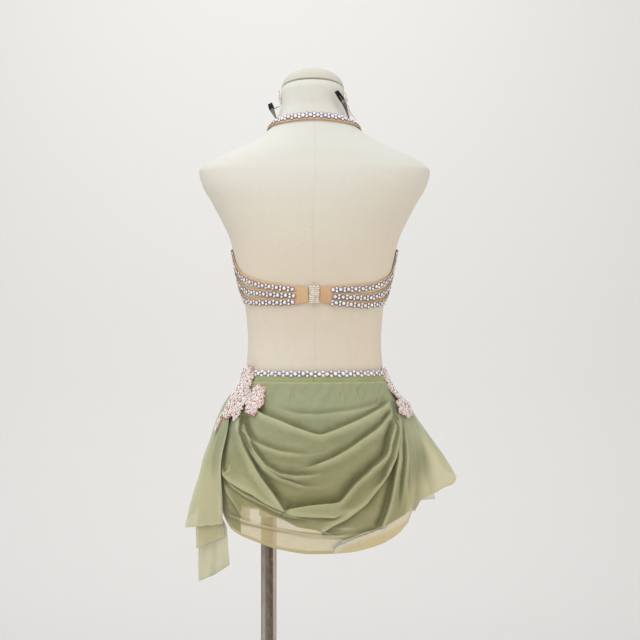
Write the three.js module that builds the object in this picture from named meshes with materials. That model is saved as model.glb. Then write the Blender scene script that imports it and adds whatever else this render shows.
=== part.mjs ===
import * as THREE from 'three';

// Lyrical dance costume on a limbless dress form, seen by its wearer's axes:
// front of the body towards -Y, wearer's left towards +X, up +Z, millimetres.
// The origin is the centre of the base plate's underside, on the pole's axis.

// ---------------------------------------------------------------- sizes
const BODY_X = -75;            // body centre line, to the side of the pole
const ROUNDNESS = 2.2;         // body sections are superellipses
const BASE_RADIUS = 170, BASE_HEIGHT = 8, BASE_EDGE = 3;
const COLLAR_RADIUS = 23, COLLAR_HEIGHT = 38;
const POLE_RADIUS = 12.7;
const SOCKET_RADIUS = 16, SOCKET_BOTTOM = 765.6;
const FORM_BOTTOM = 786, FORM_TOP = 1459, NECK_TILT = 0.34, NECK_Y = -13;
const NECK_LEAN = 3;           // the neck stands this far to the wearer's left
const CAP_SIDE = 18, CAP_RISE = 14.2;
const SEAM = 0.3;              // clear distance left at every seam
const WALL = 1.2;              // mesh and knit cloth
const BAND_TOP = 1004, BAND_BOTTOM = 985.6, CLOTH_TOP = 984.2;
const BUST = { rise: 34, across: 72, wide: 52, z: 1182, tall: 48 };

// body sections: height, half width, depth behind and in front of the side line
const SECTIONS = [
  { z: 640, side: 150, back: 112, front: 92 },
  { z: 720, side: 152, back: 114, front: 92 },
  { z: 800, side: 156, back: 118, front: 93 },
  { z: 860, side: 160, back: 121, front: 95 },
  { z: 907, side: 152, back: 117, front: 94 },
  { z: 948, side: 138, back: 102, front: 91 },
  { z: 980, side: 122, back: 86, front: 86 },
  { z: 1005, side: 112, back: 77, front: 82 },
  { z: 1054, side: 109, back: 74, front: 82 },
  { z: 1107, side: 113, back: 78, front: 88 },
  { z: 1160, side: 125, back: 84, front: 98 },
  { z: 1200, side: 133, back: 87, front: 104 },
  { z: 1221, side: 139, back: 88, front: 106 },
  { z: 1249, side: 152, back: 88, front: 106 },
  { z: 1279, side: 168, back: 87, front: 102 },
  { z: 1308, side: 184, back: 84, front: 97 },
  { z: 1331, side: 189, back: 79, front: 91 },
  { z: 1343, side: 178, back: 75, front: 87 },
  { z: 1357, side: 152, back: 71, front: 82 },
  { z: 1370, side: 121, back: 66, front: 78 },
  { z: 1382, side: 98, back: 61, front: 76 },
  { z: 1397, side: 76, back: 55, front: 73 },
  { z: 1415, side: 62, back: 49, front: 70 },
  { z: 1440, side: 52, back: 43, front: 68 },
  { z: 1470, side: 51.5, back: 42, front: 68 },
];

// fold lines of the back drape: height at each bearing from the back centre,
// left (wearer's) to right, degrees in the column names
const FOLD_BEARINGS = [64, 47, 34, 16, 0, -16, -34, -47, -62, -76];
const FOLDS = [
  { name: 'top',    at: [984.2, 984.2, 984.2, 984.2, 984.2, 984.2, 984.2, 984.2, 984.2, 984.2] },
  { name: 'yoke',   at: [967, 957, 955, 943, 946, 952, 958, 965, 970, 974] },
  { name: 'vee',    at: [951, 948, 943, 929, 914, 922, 941, 957, 961, 963] },
  { name: 'soft_1', at: [938, 940, 911, 886, 882, 897, 930, 950, 954, 954] },
  { name: 'soft_2', at: [926, 932, 891, 852, 857, 878, 915, 941, 947, 946] },
  { name: 'soft_3', at: [914, 923, 874, 838, 825, 841, 875, 921, 940, 937] },
  { name: 'cowl',   at: [901, 914, 850, 795, 798, 803, 845, 892, 931, 927] },
  { name: 'lip',    at: [842, 825, 813, 787, 784, 795, 834, 877, 920, 915] },
  { name: 'pocket', at: [821, 808, 796, 777, 763, 787, 823, 863, 907, 902] },
  { name: 'roll',   at: [808, 771, 766, 759, 754, 753, 762, 820, 879, 868] },
  { name: 'corner', at: [797, 761, 752, 740, 732, 740, 750, 790, 850, 828] },
  { name: 'hem',    at: [784, 752, 742, 729, 723, 724.5, 733, 743.5, 762, 782] },
];
// the cloth between those lines: line number (a part is the way to the next),
// stand off the body, and how far it dips below the line into a pocket
const DRAPE_ROWS = [
  { line: 0, stand: 3.3, dip: 0 }, { line: 0.45, stand: 4, dip: 0 },
  { line: 1, stand: 6.2, dip: 0 }, { line: 1.4, stand: 5.6, dip: 0 },
  { line: 1.86, stand: 4.8, dip: 0 }, { line: 2, stand: 6, dip: 5 },
  { line: 2, stand: 10.5, dip: 0 }, { line: 2.14, stand: 12.5, dip: 0 },
  { line: 2.6, stand: 10, dip: 0 }, { line: 3, stand: 12.2, dip: 0 },
  { line: 3.5, stand: 9.6, dip: 0 }, { line: 4, stand: 12.6, dip: 0 },
  { line: 4.45, stand: 10, dip: 0 }, { line: 5, stand: 11.4, dip: 0 },
  { line: 5.5, stand: 8.6, dip: 0 }, { line: 5.87, stand: 7, dip: 0 },
  { line: 6, stand: 8.4, dip: 6 }, { line: 6, stand: 14.4, dip: 0 },
  { line: 6.3, stand: 16.4, dip: 0 }, { line: 7, stand: 14.6, dip: 0 },
  { line: 7.35, stand: 10, dip: 0 }, { line: 7.8, stand: 9.6, dip: 0 },
  { line: 8, stand: 13, dip: 0 }, { line: 8.45, stand: 13.4, dip: 0 },
  { line: 9, stand: 13.6, dip: 0 }, { line: 9.5, stand: 11.6, dip: 0 },
  { line: 10, stand: 13.6, dip: 0 }, { line: 10.5, stand: 13, dip: 0 },
  { line: 11, stand: 11.6, dip: 0 },
];

// side and front panels: stand off the body by height, at two bearings
const FLARE = [
  { z: 984.2, near: 3.3, far: 3.3 }, { z: 966, near: 7.6, far: 8 },
  { z: 948, near: 11, far: 11 }, { z: 922, near: 13.5, far: 13 },
  { z: 896, near: 15, far: 15 }, { z: 850, near: 17.5, far: 26 },
  { z: 800, near: 19.5, far: 45 }, { z: 750, near: 21, far: 61 },
];
const FAN = [
  { z: 984.2, near: 3.3, far: 3.3 }, { z: 966, near: 8, far: 5.6 }, { z: 956, near: 10, far: 10 },
  { z: 945, near: 11.5, far: 18 }, { z: 920, near: 12.5, far: 27 },
  { z: 890, near: 13, far: 45 }, { z: 860, near: 13, far: 62 },
  { z: 820, near: 13.5, far: 80 }, { z: 779, near: 14, far: 92 },
];
const FRONT = [
  { z: 984.2, near: 3.3, far: 3.3 }, { z: 950, near: 7, far: 5 },
  { z: 900, near: 15, far: 9 }, { z: 850, near: 24, far: 13 },
  { z: 790, near: 36, far: 18 },
];

// ---------------------------------------------------------------- shape tools
const rad = (d) => (d * Math.PI) / 180;
const clamp = (v, a, b) => Math.min(b, Math.max(a, v));
const mix = (a, b, t) => a + (b - a) * t;
const ease = (a, b, v) => { const t = clamp((v - a) / (b - a), 0, 1); return t * t * (3 - 2 * t); }; // b may be below a

// smooth curve through (x, y) pairs that never overshoots them; x rising
function curve(xs, ys) {
  const n = xs.length, d = [], m = [];
  for (let i = 0; i < n - 1; i++) d.push((ys[i + 1] - ys[i]) / (xs[i + 1] - xs[i]));
  for (let i = 0; i < n; i++) {
    if (i === 0) m.push(d[0]);
    else if (i === n - 1) m.push(d[n - 2]);
    else m.push(d[i - 1] * d[i] <= 0 ? 0 : (2 * d[i - 1] * d[i]) / (d[i - 1] + d[i]));
  }
  return (x) => {
    if (x <= xs[0]) return ys[0];
    if (x >= xs[n - 1]) return ys[n - 1];
    let i = 0;
    while (x > xs[i + 1]) i++;
    const h = xs[i + 1] - xs[i], t = (x - xs[i]) / h, t2 = t * t, t3 = t2 * t;
    return (2 * t3 - 3 * t2 + 1) * ys[i] + (t3 - 2 * t2 + t) * h * m[i]
      + (3 * t2 - 2 * t3) * ys[i + 1] + (t3 - t2) * h * m[i + 1];
  };
}
const column = (rows, name) => curve(rows.map((r) => r.z), rows.map((r) => r[name]));
const column_down = (rows, name) => column([...rows].reverse(), name);
const SIDE = column(SECTIONS, 'side'), BACK = column(SECTIONS, 'back'), FRONT_DEPTH = column(SECTIONS, 'front');

// point off the body: bearing from the back centre, height, stand-off
function body(bearing, z, off = 0) {
  const s = Math.sin(rad(bearing)), c = Math.cos(rad(bearing)), p = 2 / ROUNDNESS;
  const S = Math.sign(s) * Math.abs(s) ** p, C = Math.sign(c) * Math.abs(c) ** p;
  const across = SIDE(z) * S;
  let y = (BACK(z) + off) * C;
  if (C < 0) {
    const lift = Math.exp(-(((z - BUST.z) / BUST.tall) ** 2))
      * (Math.exp(-(((across - BUST.across) / BUST.wide) ** 2)) + Math.exp(-(((across + BUST.across) / BUST.wide) ** 2)));
    y = (FRONT_DEPTH(z) + off) * C - BUST.rise * lift * Math.abs(C) ** 0.8;
  }
  return new THREE.Vector3(BODY_X + NECK_LEAN * ease(1385, 1445, z) + across + off * S, y, z);
}
// true outward direction of the body there
function outward(bearing, z) {
  const a = body(bearing - 1, z).sub(body(bearing + 1, z));
  const b = body(bearing, z - 1.5).sub(body(bearing, z + 1.5));
  return b.cross(a).normalize();
}

const group = new THREE.Group();
group.name = 'lyrical_dance_costume_on_dress_form';
const MATERIALS = {
  form: ['form_linen', '#ddd5c2', 0.85, 0], cap: ['form_cap_linen', '#e1e0d4', 0.8, 0],
  steel: ['pole_metal', '#8a7a6c', 0.45, 0.8], iron: ['base_metal', '#4b4541', 0.55, 0.6],
  mesh: ['sage_mesh', '#a0a077', 0.75, 0], knit: ['sage_knit', '#9a936a', 0.7, 0],
  nude: ['nude_elastic', '#d1a97d', 0.7, 0], clear: ['clear_plastic', '#d8d2c8', 0.25, 0],
  lace: ['pink_lace', '#d9b3ae', 0.7, 0], black: ['black_clip_metal', '#1c1b1d', 0.35, 0.6],
};
function add(name, points, faces, look) {
  const at = [];
  for (const p of points) at.push(p.x, p.y, p.z);
  let volume = 0;
  for (const [a, b, c] of faces) volume += points[a].dot(points[b].clone().cross(points[c]));
  const index = faces.flatMap(([a, b, c]) => (volume < 0 ? [a, c, b] : [a, b, c]));
  const geometry = new THREE.BufferGeometry();
  geometry.setAttribute('position', new THREE.Float32BufferAttribute(at, 3));
  geometry.setIndex(index);
  geometry.computeVertexNormals();
  const [label, colour, roughness, metalness] = MATERIALS[look];
  const mesh = new THREE.Mesh(geometry, new THREE.MeshStandardMaterial({ name: label, color: colour, roughness, metalness }));
  mesh.name = name;
  group.add(mesh);
  return mesh;
}

// closed cloth wall on a grid of middle points; round = the columns close up
function wall(name, rows, cols, point, thick, look, round = false) {
  const P = [];
  for (let i = 0; i < rows; i++) { P.push([]); for (let j = 0; j < cols; j++) P[i].push(point(i, j)); }
  const last = round ? cols : cols - 1;
  const N = P.map((row) => row.map(() => []));
  for (let i = 0; i < rows - 1; i++) for (let j = 0; j < last; j++) {
    const k = (j + 1) % cols;
    const n = P[i + 1][k].clone().sub(P[i][j]).cross(P[i + 1][j].clone().sub(P[i][k])).normalize();
    for (const [a, b] of [[i, j], [i, k], [i + 1, j], [i + 1, k]]) N[a][b].push(n);
  }
  const points = [], id = (side, i, j) => side * rows * cols + i * cols + (j % cols);
  for (const side of [1, -1]) for (let i = 0; i < rows; i++) for (let j = 0; j < cols; j++) {
    const n = N[i][j].reduce((s, v) => s.add(v), new THREE.Vector3()).normalize();
    const lean = Math.min(...N[i][j].map((v) => v.dot(n)));
    const reach = (thick / 2) / clamp(lean, 0.6, 1);
    points.push(P[i][j].clone().addScaledVector(n, side * reach));
  }
  const faces = [];
  const quad = (a, b, c, d) => faces.push([a, b, c], [a, c, d]);
  for (let i = 0; i < rows - 1; i++) for (let j = 0; j < last; j++) {
    quad(id(0, i, j), id(0, i + 1, j), id(0, i + 1, j + 1), id(0, i, j + 1));
    quad(id(1, i, j), id(1, i, j + 1), id(1, i + 1, j + 1), id(1, i + 1, j));
  }
  for (let j = 0; j < last; j++) {
    quad(id(0, 0, j), id(0, 0, j + 1), id(1, 0, j + 1), id(1, 0, j));
    quad(id(0, rows - 1, j), id(1, rows - 1, j), id(1, rows - 1, j + 1), id(0, rows - 1, j + 1));
  }
  if (!round) for (let i = 0; i < rows - 1; i++) {
    quad(id(0, i, 0), id(1, i, 0), id(1, i + 1, 0), id(0, i + 1, 0));
    quad(id(0, i, cols - 1), id(0, i + 1, cols - 1), id(1, i + 1, cols - 1), id(1, i, cols - 1));
  }
  return add(name, points, faces, look);
}

// solid from stacked rings, closed by a centre point at each end
function loft(name, rings, around, point, ends, look) {
  const points = [], faces = [];
  for (let i = 0; i < rings; i++) for (let j = 0; j < around; j++) points.push(point(i, (j * 360) / around));
  for (let i = 0; i < rings - 1; i++) for (let j = 0; j < around; j++) {
    const k = (j + 1) % around, a = i * around, b = a + around;
    faces.push([a + j, a + k, b + k], [a + j, b + k, b + j]);
  }
  const low = points.push(ends[0]) - 1, high = points.push(ends[1]) - 1, top = (rings - 1) * around;
  for (let j = 0; j < around; j++) {
    const k = (j + 1) % around;
    faces.push([low, k, j], [high, top + j, top + k]);
  }
  return add(name, points, faces, look);
}
const turned = (name, profile, around, look) => loft(name, profile.length, around,
  (i, a) => new THREE.Vector3(profile[i][0] * Math.cos(rad(a)), profile[i][0] * Math.sin(rad(a)), profile[i][1]),
  [new THREE.Vector3(0, 0, profile[0][1]), new THREE.Vector3(0, 0, profile[profile.length - 1][1])], look);

// flat strip laid on the body along a path of { bearing, z, wide }
function strip(name, path, steps, off, thick, look, lines = 2) {
  const at = path.map((_, i) => i);
  const bearing = curve(at, path.map((p) => p.bearing)), z = curve(at, path.map((p) => p.z)), wide = curve(at, path.map((p) => p.wide));
  const centre = (t) => body(bearing(t), z(t));
  const rows = [];
  for (let i = 0; i <= steps; i++) {
    const t = (i * (path.length - 1)) / steps;
    const out = outward(bearing(t), z(t));
    const along = centre(Math.min(t + 0.05, path.length - 1)).sub(centre(Math.max(t - 0.05, 0))).normalize();
    const across = out.clone().cross(along).normalize().multiplyScalar(wide(t) / 2);
    const mid = centre(t).addScaledVector(out, off + thick / 2);
    rows.push((j) => mid.clone().addScaledVector(across, 1 - (2 * j) / (lines - 1)));
  }
  return wall(name, rows.length, lines, (i, j) => rows[i](j), thick, look);
}

// lobed motif: rings of a wavy outline round a centre, laid over the cloth
function motif(name, at, cover, spokes, rings, thick) {
  const points = [], faces = [], layer = rings * spokes + 1;
  for (const side of [1, -1]) {
    const place = (u, v) => {
      const z = at.z + v, b = at.bearing + (u / (SIDE(z) + 8)) * (180 / Math.PI);
      return body(b, z, cover(b, z) + at.lift + (side * thick) / 2);
    };
    points.push(place(0, 0));
    for (let k = 1; k <= rings; k++) for (let j = 0; j < spokes; j++) {
      const a = (j * 2 * Math.PI) / spokes, t = (k / rings) * (1 + at.wave * Math.cos(at.lobes * a + at.turn));
      const u = at.wide * Math.sin(a) * t, v = at.tall * Math.cos(a) * t, lean = rad(at.lean);
      points.push(place(u * Math.cos(lean) - v * Math.sin(lean), u * Math.sin(lean) + v * Math.cos(lean)));
    }
  }
  const id = (side, k, j) => side * layer + 1 + (k - 1) * spokes + (j % spokes);
  for (let j = 0; j < spokes; j++) {
    faces.push([0, id(0, 1, j), id(0, 1, j + 1)], [layer, id(1, 1, j + 1), id(1, 1, j)]);
    for (let k = 1; k < rings; k++) {
      faces.push([id(0, k, j), id(0, k + 1, j), id(0, k + 1, j + 1)], [id(0, k, j), id(0, k + 1, j + 1), id(0, k, j + 1)]);
      faces.push([id(1, k, j), id(1, k + 1, j + 1), id(1, k + 1, j)], [id(1, k, j), id(1, k, j + 1), id(1, k + 1, j + 1)]);
    }
    faces.push([id(0, rings, j), id(1, rings, j), id(1, rings, j + 1)], [id(0, rings, j), id(1, rings, j + 1), id(0, rings, j + 1)]);
  }
  return add(name, points, faces, 'lace');
}

// pointed clip: flattened rings along a line from its tip to its lever end
function clip(name, tip, end, facing) {
  const along = end.clone().sub(tip), length = along.length();
  along.normalize();
  const side = facing.clone().cross(along).normalize(), out = along.clone().cross(side).normalize();
  const rings = CLIP_RINGS.map(([at, wide, deep]) => [tip.clone().addScaledVector(along, at * length), wide / 2, deep / 2]);
  return loft(name, rings.length, 12, (i, a) => {
    const [c, w, d] = rings[i];
    return c.clone().addScaledVector(side, w * Math.cos(rad(a))).addScaledVector(out, d * Math.sin(rad(a)));
  }, [rings[0][0], rings[rings.length - 1][0]], 'black');
}

// ---------------------------------------------------------------- stand
turned('base_plate', [[BASE_RADIUS - BASE_EDGE, 0], [BASE_RADIUS, BASE_EDGE], [BASE_RADIUS, BASE_HEIGHT - BASE_EDGE], [BASE_RADIUS - BASE_EDGE, BASE_HEIGHT]], 40, 'iron');
const collarTop = BASE_HEIGHT + SEAM + COLLAR_HEIGHT;
turned('base_collar', [[COLLAR_RADIUS + 5, BASE_HEIGHT + SEAM], [COLLAR_RADIUS + 5, BASE_HEIGHT + SEAM + 8], [COLLAR_RADIUS, BASE_HEIGHT + SEAM + 13], [COLLAR_RADIUS - 3, collarTop]], 24, 'iron');
turned('pole', [[POLE_RADIUS, collarTop + SEAM], [POLE_RADIUS, SOCKET_BOTTOM - SEAM]], 32, 'steel');
turned('pole_socket', [[SOCKET_RADIUS - 3, SOCKET_BOTTOM], [SOCKET_RADIUS, SOCKET_BOTTOM + 3], [SOCKET_RADIUS, FORM_BOTTOM - SEAM]], 24, 'form');

// ---------------------------------------------------------------- dress form
// the rounded rim under the hips: height and how far it is drawn in
const RIM = [{ z: FORM_BOTTOM, draw: 24 }, { z: 787.2, draw: 14 }, { z: 791, draw: 6 }, { z: 797, draw: 1.6 }];
const FORM_Z = [808, 834, 860, 884, 908, 930, 950, 969, 987, 1005, 1030, 1062, 1094, 1120, 1144, 1166, 1187, 1208,
  1230, 1252, 1274, 1294, 1311, 1325, 1337, 1348, 1359, 1369, 1379, 1390, 1402, 1416, 1434];
const formRings = [...RIM, ...FORM_Z.map((z) => ({ z, draw: 0 })), { z: FORM_TOP - 7, draw: 0, tilt: 0.7 }, { z: FORM_TOP - 0.5, draw: 0.4, tilt: 1 }];
loft('form_torso', formRings.length, 40, (i, a) => {
  const ring = formRings[i], p = body(a, ring.z, -ring.draw);
  if (ring.tilt) p.z += ring.tilt * NECK_TILT * (p.y - NECK_Y);
  return p;
}, [new THREE.Vector3(BODY_X, 0, FORM_BOTTOM), new THREE.Vector3(BODY_X + NECK_LEAN, NECK_Y, FORM_TOP - 0.5)], 'form');
const capRings = [[0, 0.4], [2, 0], [CAP_SIDE - 9, 2.4], [CAP_SIDE - 3, 6.6], [CAP_SIDE + 3, 13.5], [CAP_SIDE + 9, 25], [CAP_SIDE + 12.5, 37]];
loft('form_neck_cap', capRings.length, 28, (i, a) => {
  const [up, draw] = capRings[i], p = body(a, 1465, -draw);
  p.z = FORM_TOP + SEAM + up + NECK_TILT * (p.y - NECK_Y);
  return p;
}, [new THREE.Vector3(BODY_X + NECK_LEAN, NECK_Y, FORM_TOP + SEAM), new THREE.Vector3(BODY_X + NECK_LEAN, NECK_Y, FORM_TOP + SEAM + CAP_SIDE + CAP_RISE)], 'cap');

// ---------------------------------------------------------------- bra and halter
// cup edges by bearing, left side; the right cup mirrors them
const CUP_TOP = curve([92, 108, 124, 140, 153, 166, 178.6], [1201, 1206, 1218, 1238, 1256, 1216, 1176]);
const CUP_LOW = curve([92, 108, 124, 140, 153, 166, 178.6], [1124, 1112, 1104, 1102, 1102, 1106, 1118]);
for (const [name, side] of [['bra_cup_left', 1], ['bra_cup_right', -1]]) {
  wall(name, 11, 15, (i, j) => {
    const b = mix(92, 178.6, j / 14);
    return body(side * b, mix(CUP_LOW(b), CUP_TOP(b), i / 10), 2.6);
  }, 1.4, 'knit');
}
// halter: one elastic from cup to cup round the back of the neck
const HALTER_HALF = [
  { bearing: 158.5, z: 1260, wide: 11 }, { bearing: 160, z: 1292, wide: 11 }, { bearing: 160, z: 1326, wide: 11 },
  { bearing: 147, z: 1366, wide: 11.5 }, { bearing: 116, z: 1394, wide: 11 }, { bearing: 84, z: 1403.5, wide: 11 },
  { bearing: 45, z: 1410, wide: 12 },
];
strip('halter_strap', [...HALTER_HALF, { bearing: 0, z: 1414, wide: 12 }, ...[...HALTER_HALF].reverse().map((p) => ({ ...p, bearing: -p.bearing }))], 44, 1.6, 1.3, 'nude', 3);

// three straps each side, all drawn together at a tab by the clasp
const STRAPS = {
  left_top: [[90.2, 1195, 11], [80, 1174, 11], [66, 1157.5, 11], [41, 1144.3, 11.4], [12, 1136.6, 9.4]],
  left_middle: [[90.2, 1160, 11], [76, 1145, 11], [63, 1135.2, 11], [38, 1130, 11], [12, 1126.7, 9]],
  left_bottom: [[90.2, 1132, 11], [79, 1124.4, 11], [62, 1117.5, 11], [36, 1115.6, 11], [12, 1116.9, 9.4]],
  right_top: [[-90.2, 1195, 11], [-82, 1164, 11], [-66, 1150, 11], [-41, 1140, 11], [-12, 1136.4, 9.4]],
  right_middle: [[-90.2, 1156, 11], [-81, 1140.5, 11], [-66, 1131.5, 10.6], [-41, 1123.6, 10.4], [-12, 1126.2, 9]],
  right_bottom: [[-90.2, 1129, 11], [-80, 1120, 10.6], [-62, 1114.2, 10.4], [-41, 1111.4, 10.4], [-12, 1116.4, 9]],
};
for (const [name, path] of Object.entries(STRAPS)) {
  strip('back_strap_' + name, path.map(([bearing, z, wide]) => ({ bearing, z, wide })), 14, 0.9, 1.3, 'nude');
}
for (const [name, side] of [['back_tab_left', 1], ['back_tab_right', -1]]) {
  wall(name, 3, 4, (i, j) => body(side * mix(3.4, 10.8, j / 3), mix(mix(1115.2, 1112.4, j / 3), mix(1139.2, 1141.4, j / 3), i / 2), 1.5), 1.6, 'nude');
}
wall('back_clasp', 3, 3, (i, j) => body(mix(-3, 3, j / 2), mix(1114, 1142.6, i / 2), 1.9), 2.2, 'clear');

// ---------------------------------------------------------------- briefs and waistband
wall('waistband', 3, 48, (i, j) => body(j * 7.5, [BAND_BOTTOM, 995, BAND_TOP][i], 2.7), 2.8, 'knit', true);
const BRIEF_BACK = curve([-90, -60, -42, -24, -13, 0, 13, 24, 42, 60, 90], [905, 878, 842, 808, 802, 801, 802, 808, 842, 878, 905]);
const BRIEF_FRONT = curve([90, 120, 140, 157, 168, 180, 192, 203, 220, 240, 270], [905, 872, 836, 808, 802, 801, 802, 808, 836, 872, 905]);
wall('briefs_back', 8, 25, (i, j) => { const b = mix(-89.9, 89.9, j / 24); return body(b, mix(CLOTH_TOP, BRIEF_BACK(b), i / 7), 1.6); }, WALL, 'knit');
wall('briefs_front', 8, 25, (i, j) => { const b = mix(90.1, 269.9, j / 24); return body(b, mix(CLOTH_TOP, BRIEF_FRONT(b), i / 7), 1.6); }, WALL, 'knit');
// gusset: from the back edge under the form to the front edge
const GUSSET = [{ b: 0, z: 800.4, draw: -1.5 }, { b: 0, z: 795, draw: -0.4 }, { b: 0, z: 789.6, draw: 4.6 }, { b: 0, z: 785.6, draw: 13 }, { b: 0, z: 784.9, draw: 25 },
  { flat: 50 }, { flat: 10 }, { flat: -30 },
  { b: 180, z: 784.9, draw: 25 }, { b: 180, z: 785.6, draw: 13 }, { b: 180, z: 789.6, draw: 4.6 }, { b: 180, z: 795, draw: -0.4 }, { b: 180, z: 800.4, draw: -1.5 }];
wall('briefs_gusset', GUSSET.length, 7, (i, j) => {
  const g = GUSSET[i], across = mix(-34, 34, j / 6);
  if (g.flat !== undefined) return new THREE.Vector3(BODY_X + across, g.flat, 784.9);
  const turn = (Math.asin((Math.abs(across) / 156) ** (ROUNDNESS / 2)) * 180) / Math.PI * Math.sign(across);
  const p = body(g.b === 0 ? turn : 180 - turn, g.z, -g.draw);
  return p;
}, WALL, 'knit');

// ---------------------------------------------------------------- skirt
const foldHeight = FOLDS.map((f) => { const c = curve([...FOLD_BEARINGS].reverse(), [...f.at].reverse()); return c; });
function drapePoint(bearing, row) {
  const k = Math.min(Math.floor(row.line), FOLDS.length - 2), t = row.line - k;
  const above = foldHeight[Math.max(0, k - (t === 0 ? 1 : 0))](bearing), below = foldHeight[Math.min(FOLDS.length - 1, k + 1)](bearing);
  const z0 = mix(foldHeight[k](bearing), foldHeight[k + 1](bearing), t);
  const room = ease(7, 22, above - below);
  const hang = 3.3 + 1.9 * ease(985, 950, z0) + 3 * ease(900, 760, z0);
  const free = 1 - Math.max(0.68 * ease(49, 58, bearing), 0.86 * ease(-54, -65, bearing));
  const z = z0 - Math.min(row.dip, 0.3 * (foldHeight[k](bearing) - below)) * room;
  return body(bearing, z, hang + Math.max(0, row.stand - 3.3 - 1.9 * ease(985, 950, z0)) * room * free);
}
wall('skirt_back_drape', DRAPE_ROWS.length, 25, (i, j) => drapePoint(mix(63.9, -75.9, j / 24), DRAPE_ROWS[i]), WALL, 'mesh');

// left flare: hangs over the drape's left end, two tails under it
const flareNear = column_down(FLARE, 'near'), flareFar = column_down(FLARE, 'far');
const flareOff = (b, z) => mix(flareNear(z), flareFar(z), ease(56, 92, b)) + 2.2 * Math.sin(rad(b * 17)) * ease(930, 820, z);
const FLARE_HEM = curve([56, 70, 88, 100, 112], [764, 757, 750, 756, 772]);
wall('skirt_left_flare', 12, 13, (i, j) => {
  const t = i / 11, top = CLOTH_TOP, s = j / 12, z = mix(top, FLARE_HEM(mix(57, 112, s)), t);
  const start = mix(64.5, 57.5, ease(0.04, 0.3, t));
  const b = mix(start, 112, s);
  return body(b, z, flareOff(b, z));
}, WALL, 'mesh');
const TAILS = {
  skirt_left_tail_long: { layer: 2, share: 0.42, more: 0.22, hem: [[0, 697], [0.5, 675], [1, 655]], start: 56.5, end: 91 },
  skirt_left_tail_short: { layer: 1, share: 0.68, more: 0.1, hem: [[0, 744], [0.5, 732], [1, 716]], start: 57, end: 81 },
};
for (const [name, tail] of Object.entries(TAILS)) {
  const hem = curve(tail.hem.map((h) => h[0]), tail.hem.map((h) => h[1]));
  wall(name, 12, 7, (i, j) => {
    const s = j / 6, z = mix(925, hem(s), i / 11);
    const b = mix(mix(tail.start, 66.5, ease(755, 785, z)), tail.end, s);
    const fold = 1.6 * Math.sin(s * 9) * ease(800, 720, z);
    const flare = flareOff(b, Math.max(z, 752)), sewn = flare - 1.8 * tail.layer;
    return body(b, z, mix(flare * (tail.share + tail.more * s) + fold, sewn, ease(870, 918, z)));
  }, WALL, 'mesh');
}

// right fan: hangs over the drape's right end, stiff folds from the hip
const fanNear = column_down(FAN, 'near'), fanFar = column_down(FAN, 'far');
const fanOff = (b, z) => mix(fanNear(z), fanFar(z), ease(64, 96, -b)) + 3 * Math.sin(rad(b * 19)) * ease(930, 820, z) * ease(-66, -74, b);
const FAN_HEM = curve([64, 72, 80, 88, 96, 112], [779, 782, 800, 822, 838, 846]);
wall('skirt_right_fan', 12, 15, (i, j) => {
  const t = i / 11, s = j / 14, z = mix(CLOTH_TOP, FAN_HEM(mix(65, 112, s)), t);
  const start = mix(76.4, 65, ease(0.04, 0.3, t));
  const b = -mix(start, 112, s);
  return body(b, z, fanOff(b, z));
}, WALL, 'mesh');

// front: one plain panel from side to side, a gentle flare and shallow folds
const frontNear = column_down(FRONT, 'near'), frontFar = column_down(FRONT, 'far');
wall('skirt_front', 8, 27, (i, j) => {
  const b = mix(112.5, 247.5, j / 26), side = Math.abs(b - 180) / 67.5;
  const z = mix(CLOTH_TOP, mix(806, 790, side ** 2), i / 7);
  const off = mix(frontFar(z), frontNear(z), side ** 2) + 3.2 * Math.sin(rad(b * 16)) * ease(960, 830, z);
  return body(b, z, off);
}, WALL, 'mesh');

// ---------------------------------------------------------------- lace appliqué
// the lace lies on the band above and on the flare or the fan below
const COVER_LEFT = (b, z) => Math.max(5.4, flareOff(b, z) + 2);
const COVER_RIGHT = (b, z) => Math.max(5.4, fanOff(b, z) + 2);
const MOTIFS = [
  { name: 'lace_left_side', bearing: 60, z: 958, wide: 22, tall: 28, lean: 14, lift: 0, lobes: 8, wave: 0.14, turn: 1 },
  { name: 'lace_left_upper', bearing: 60.5, z: 980, wide: 24, tall: 32, lean: -4, lift: 2, lobes: 7, wave: 0.13, turn: 0.6 },
  { name: 'lace_left_lower', bearing: 39, z: 961, wide: 17, tall: 24, lean: -24, lift: 0.25, lobes: 6, wave: 0.16, turn: 0 },
  { name: 'lace_left_tip', bearing: 69, z: 922, wide: 6, tall: 17, lean: 8, lift: -0.2, lobes: 5, wave: 0.16, turn: 2 },
  { name: 'lace_right_upper', bearing: -75, z: 978, wide: 20, tall: 30, lean: 4, lift: 0, lobes: 7, wave: 0.13, turn: 0.4 },
  { name: 'lace_right_lower', bearing: -71, z: 947, wide: 31, tall: 15, lean: -8, lift: 2, lobes: 6, wave: 0.15, turn: 2 },
];
for (const at of MOTIFS) motif(at.name, at, at.bearing > 0 ? COVER_LEFT : COVER_RIGHT, 24, 3, WALL);

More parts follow.
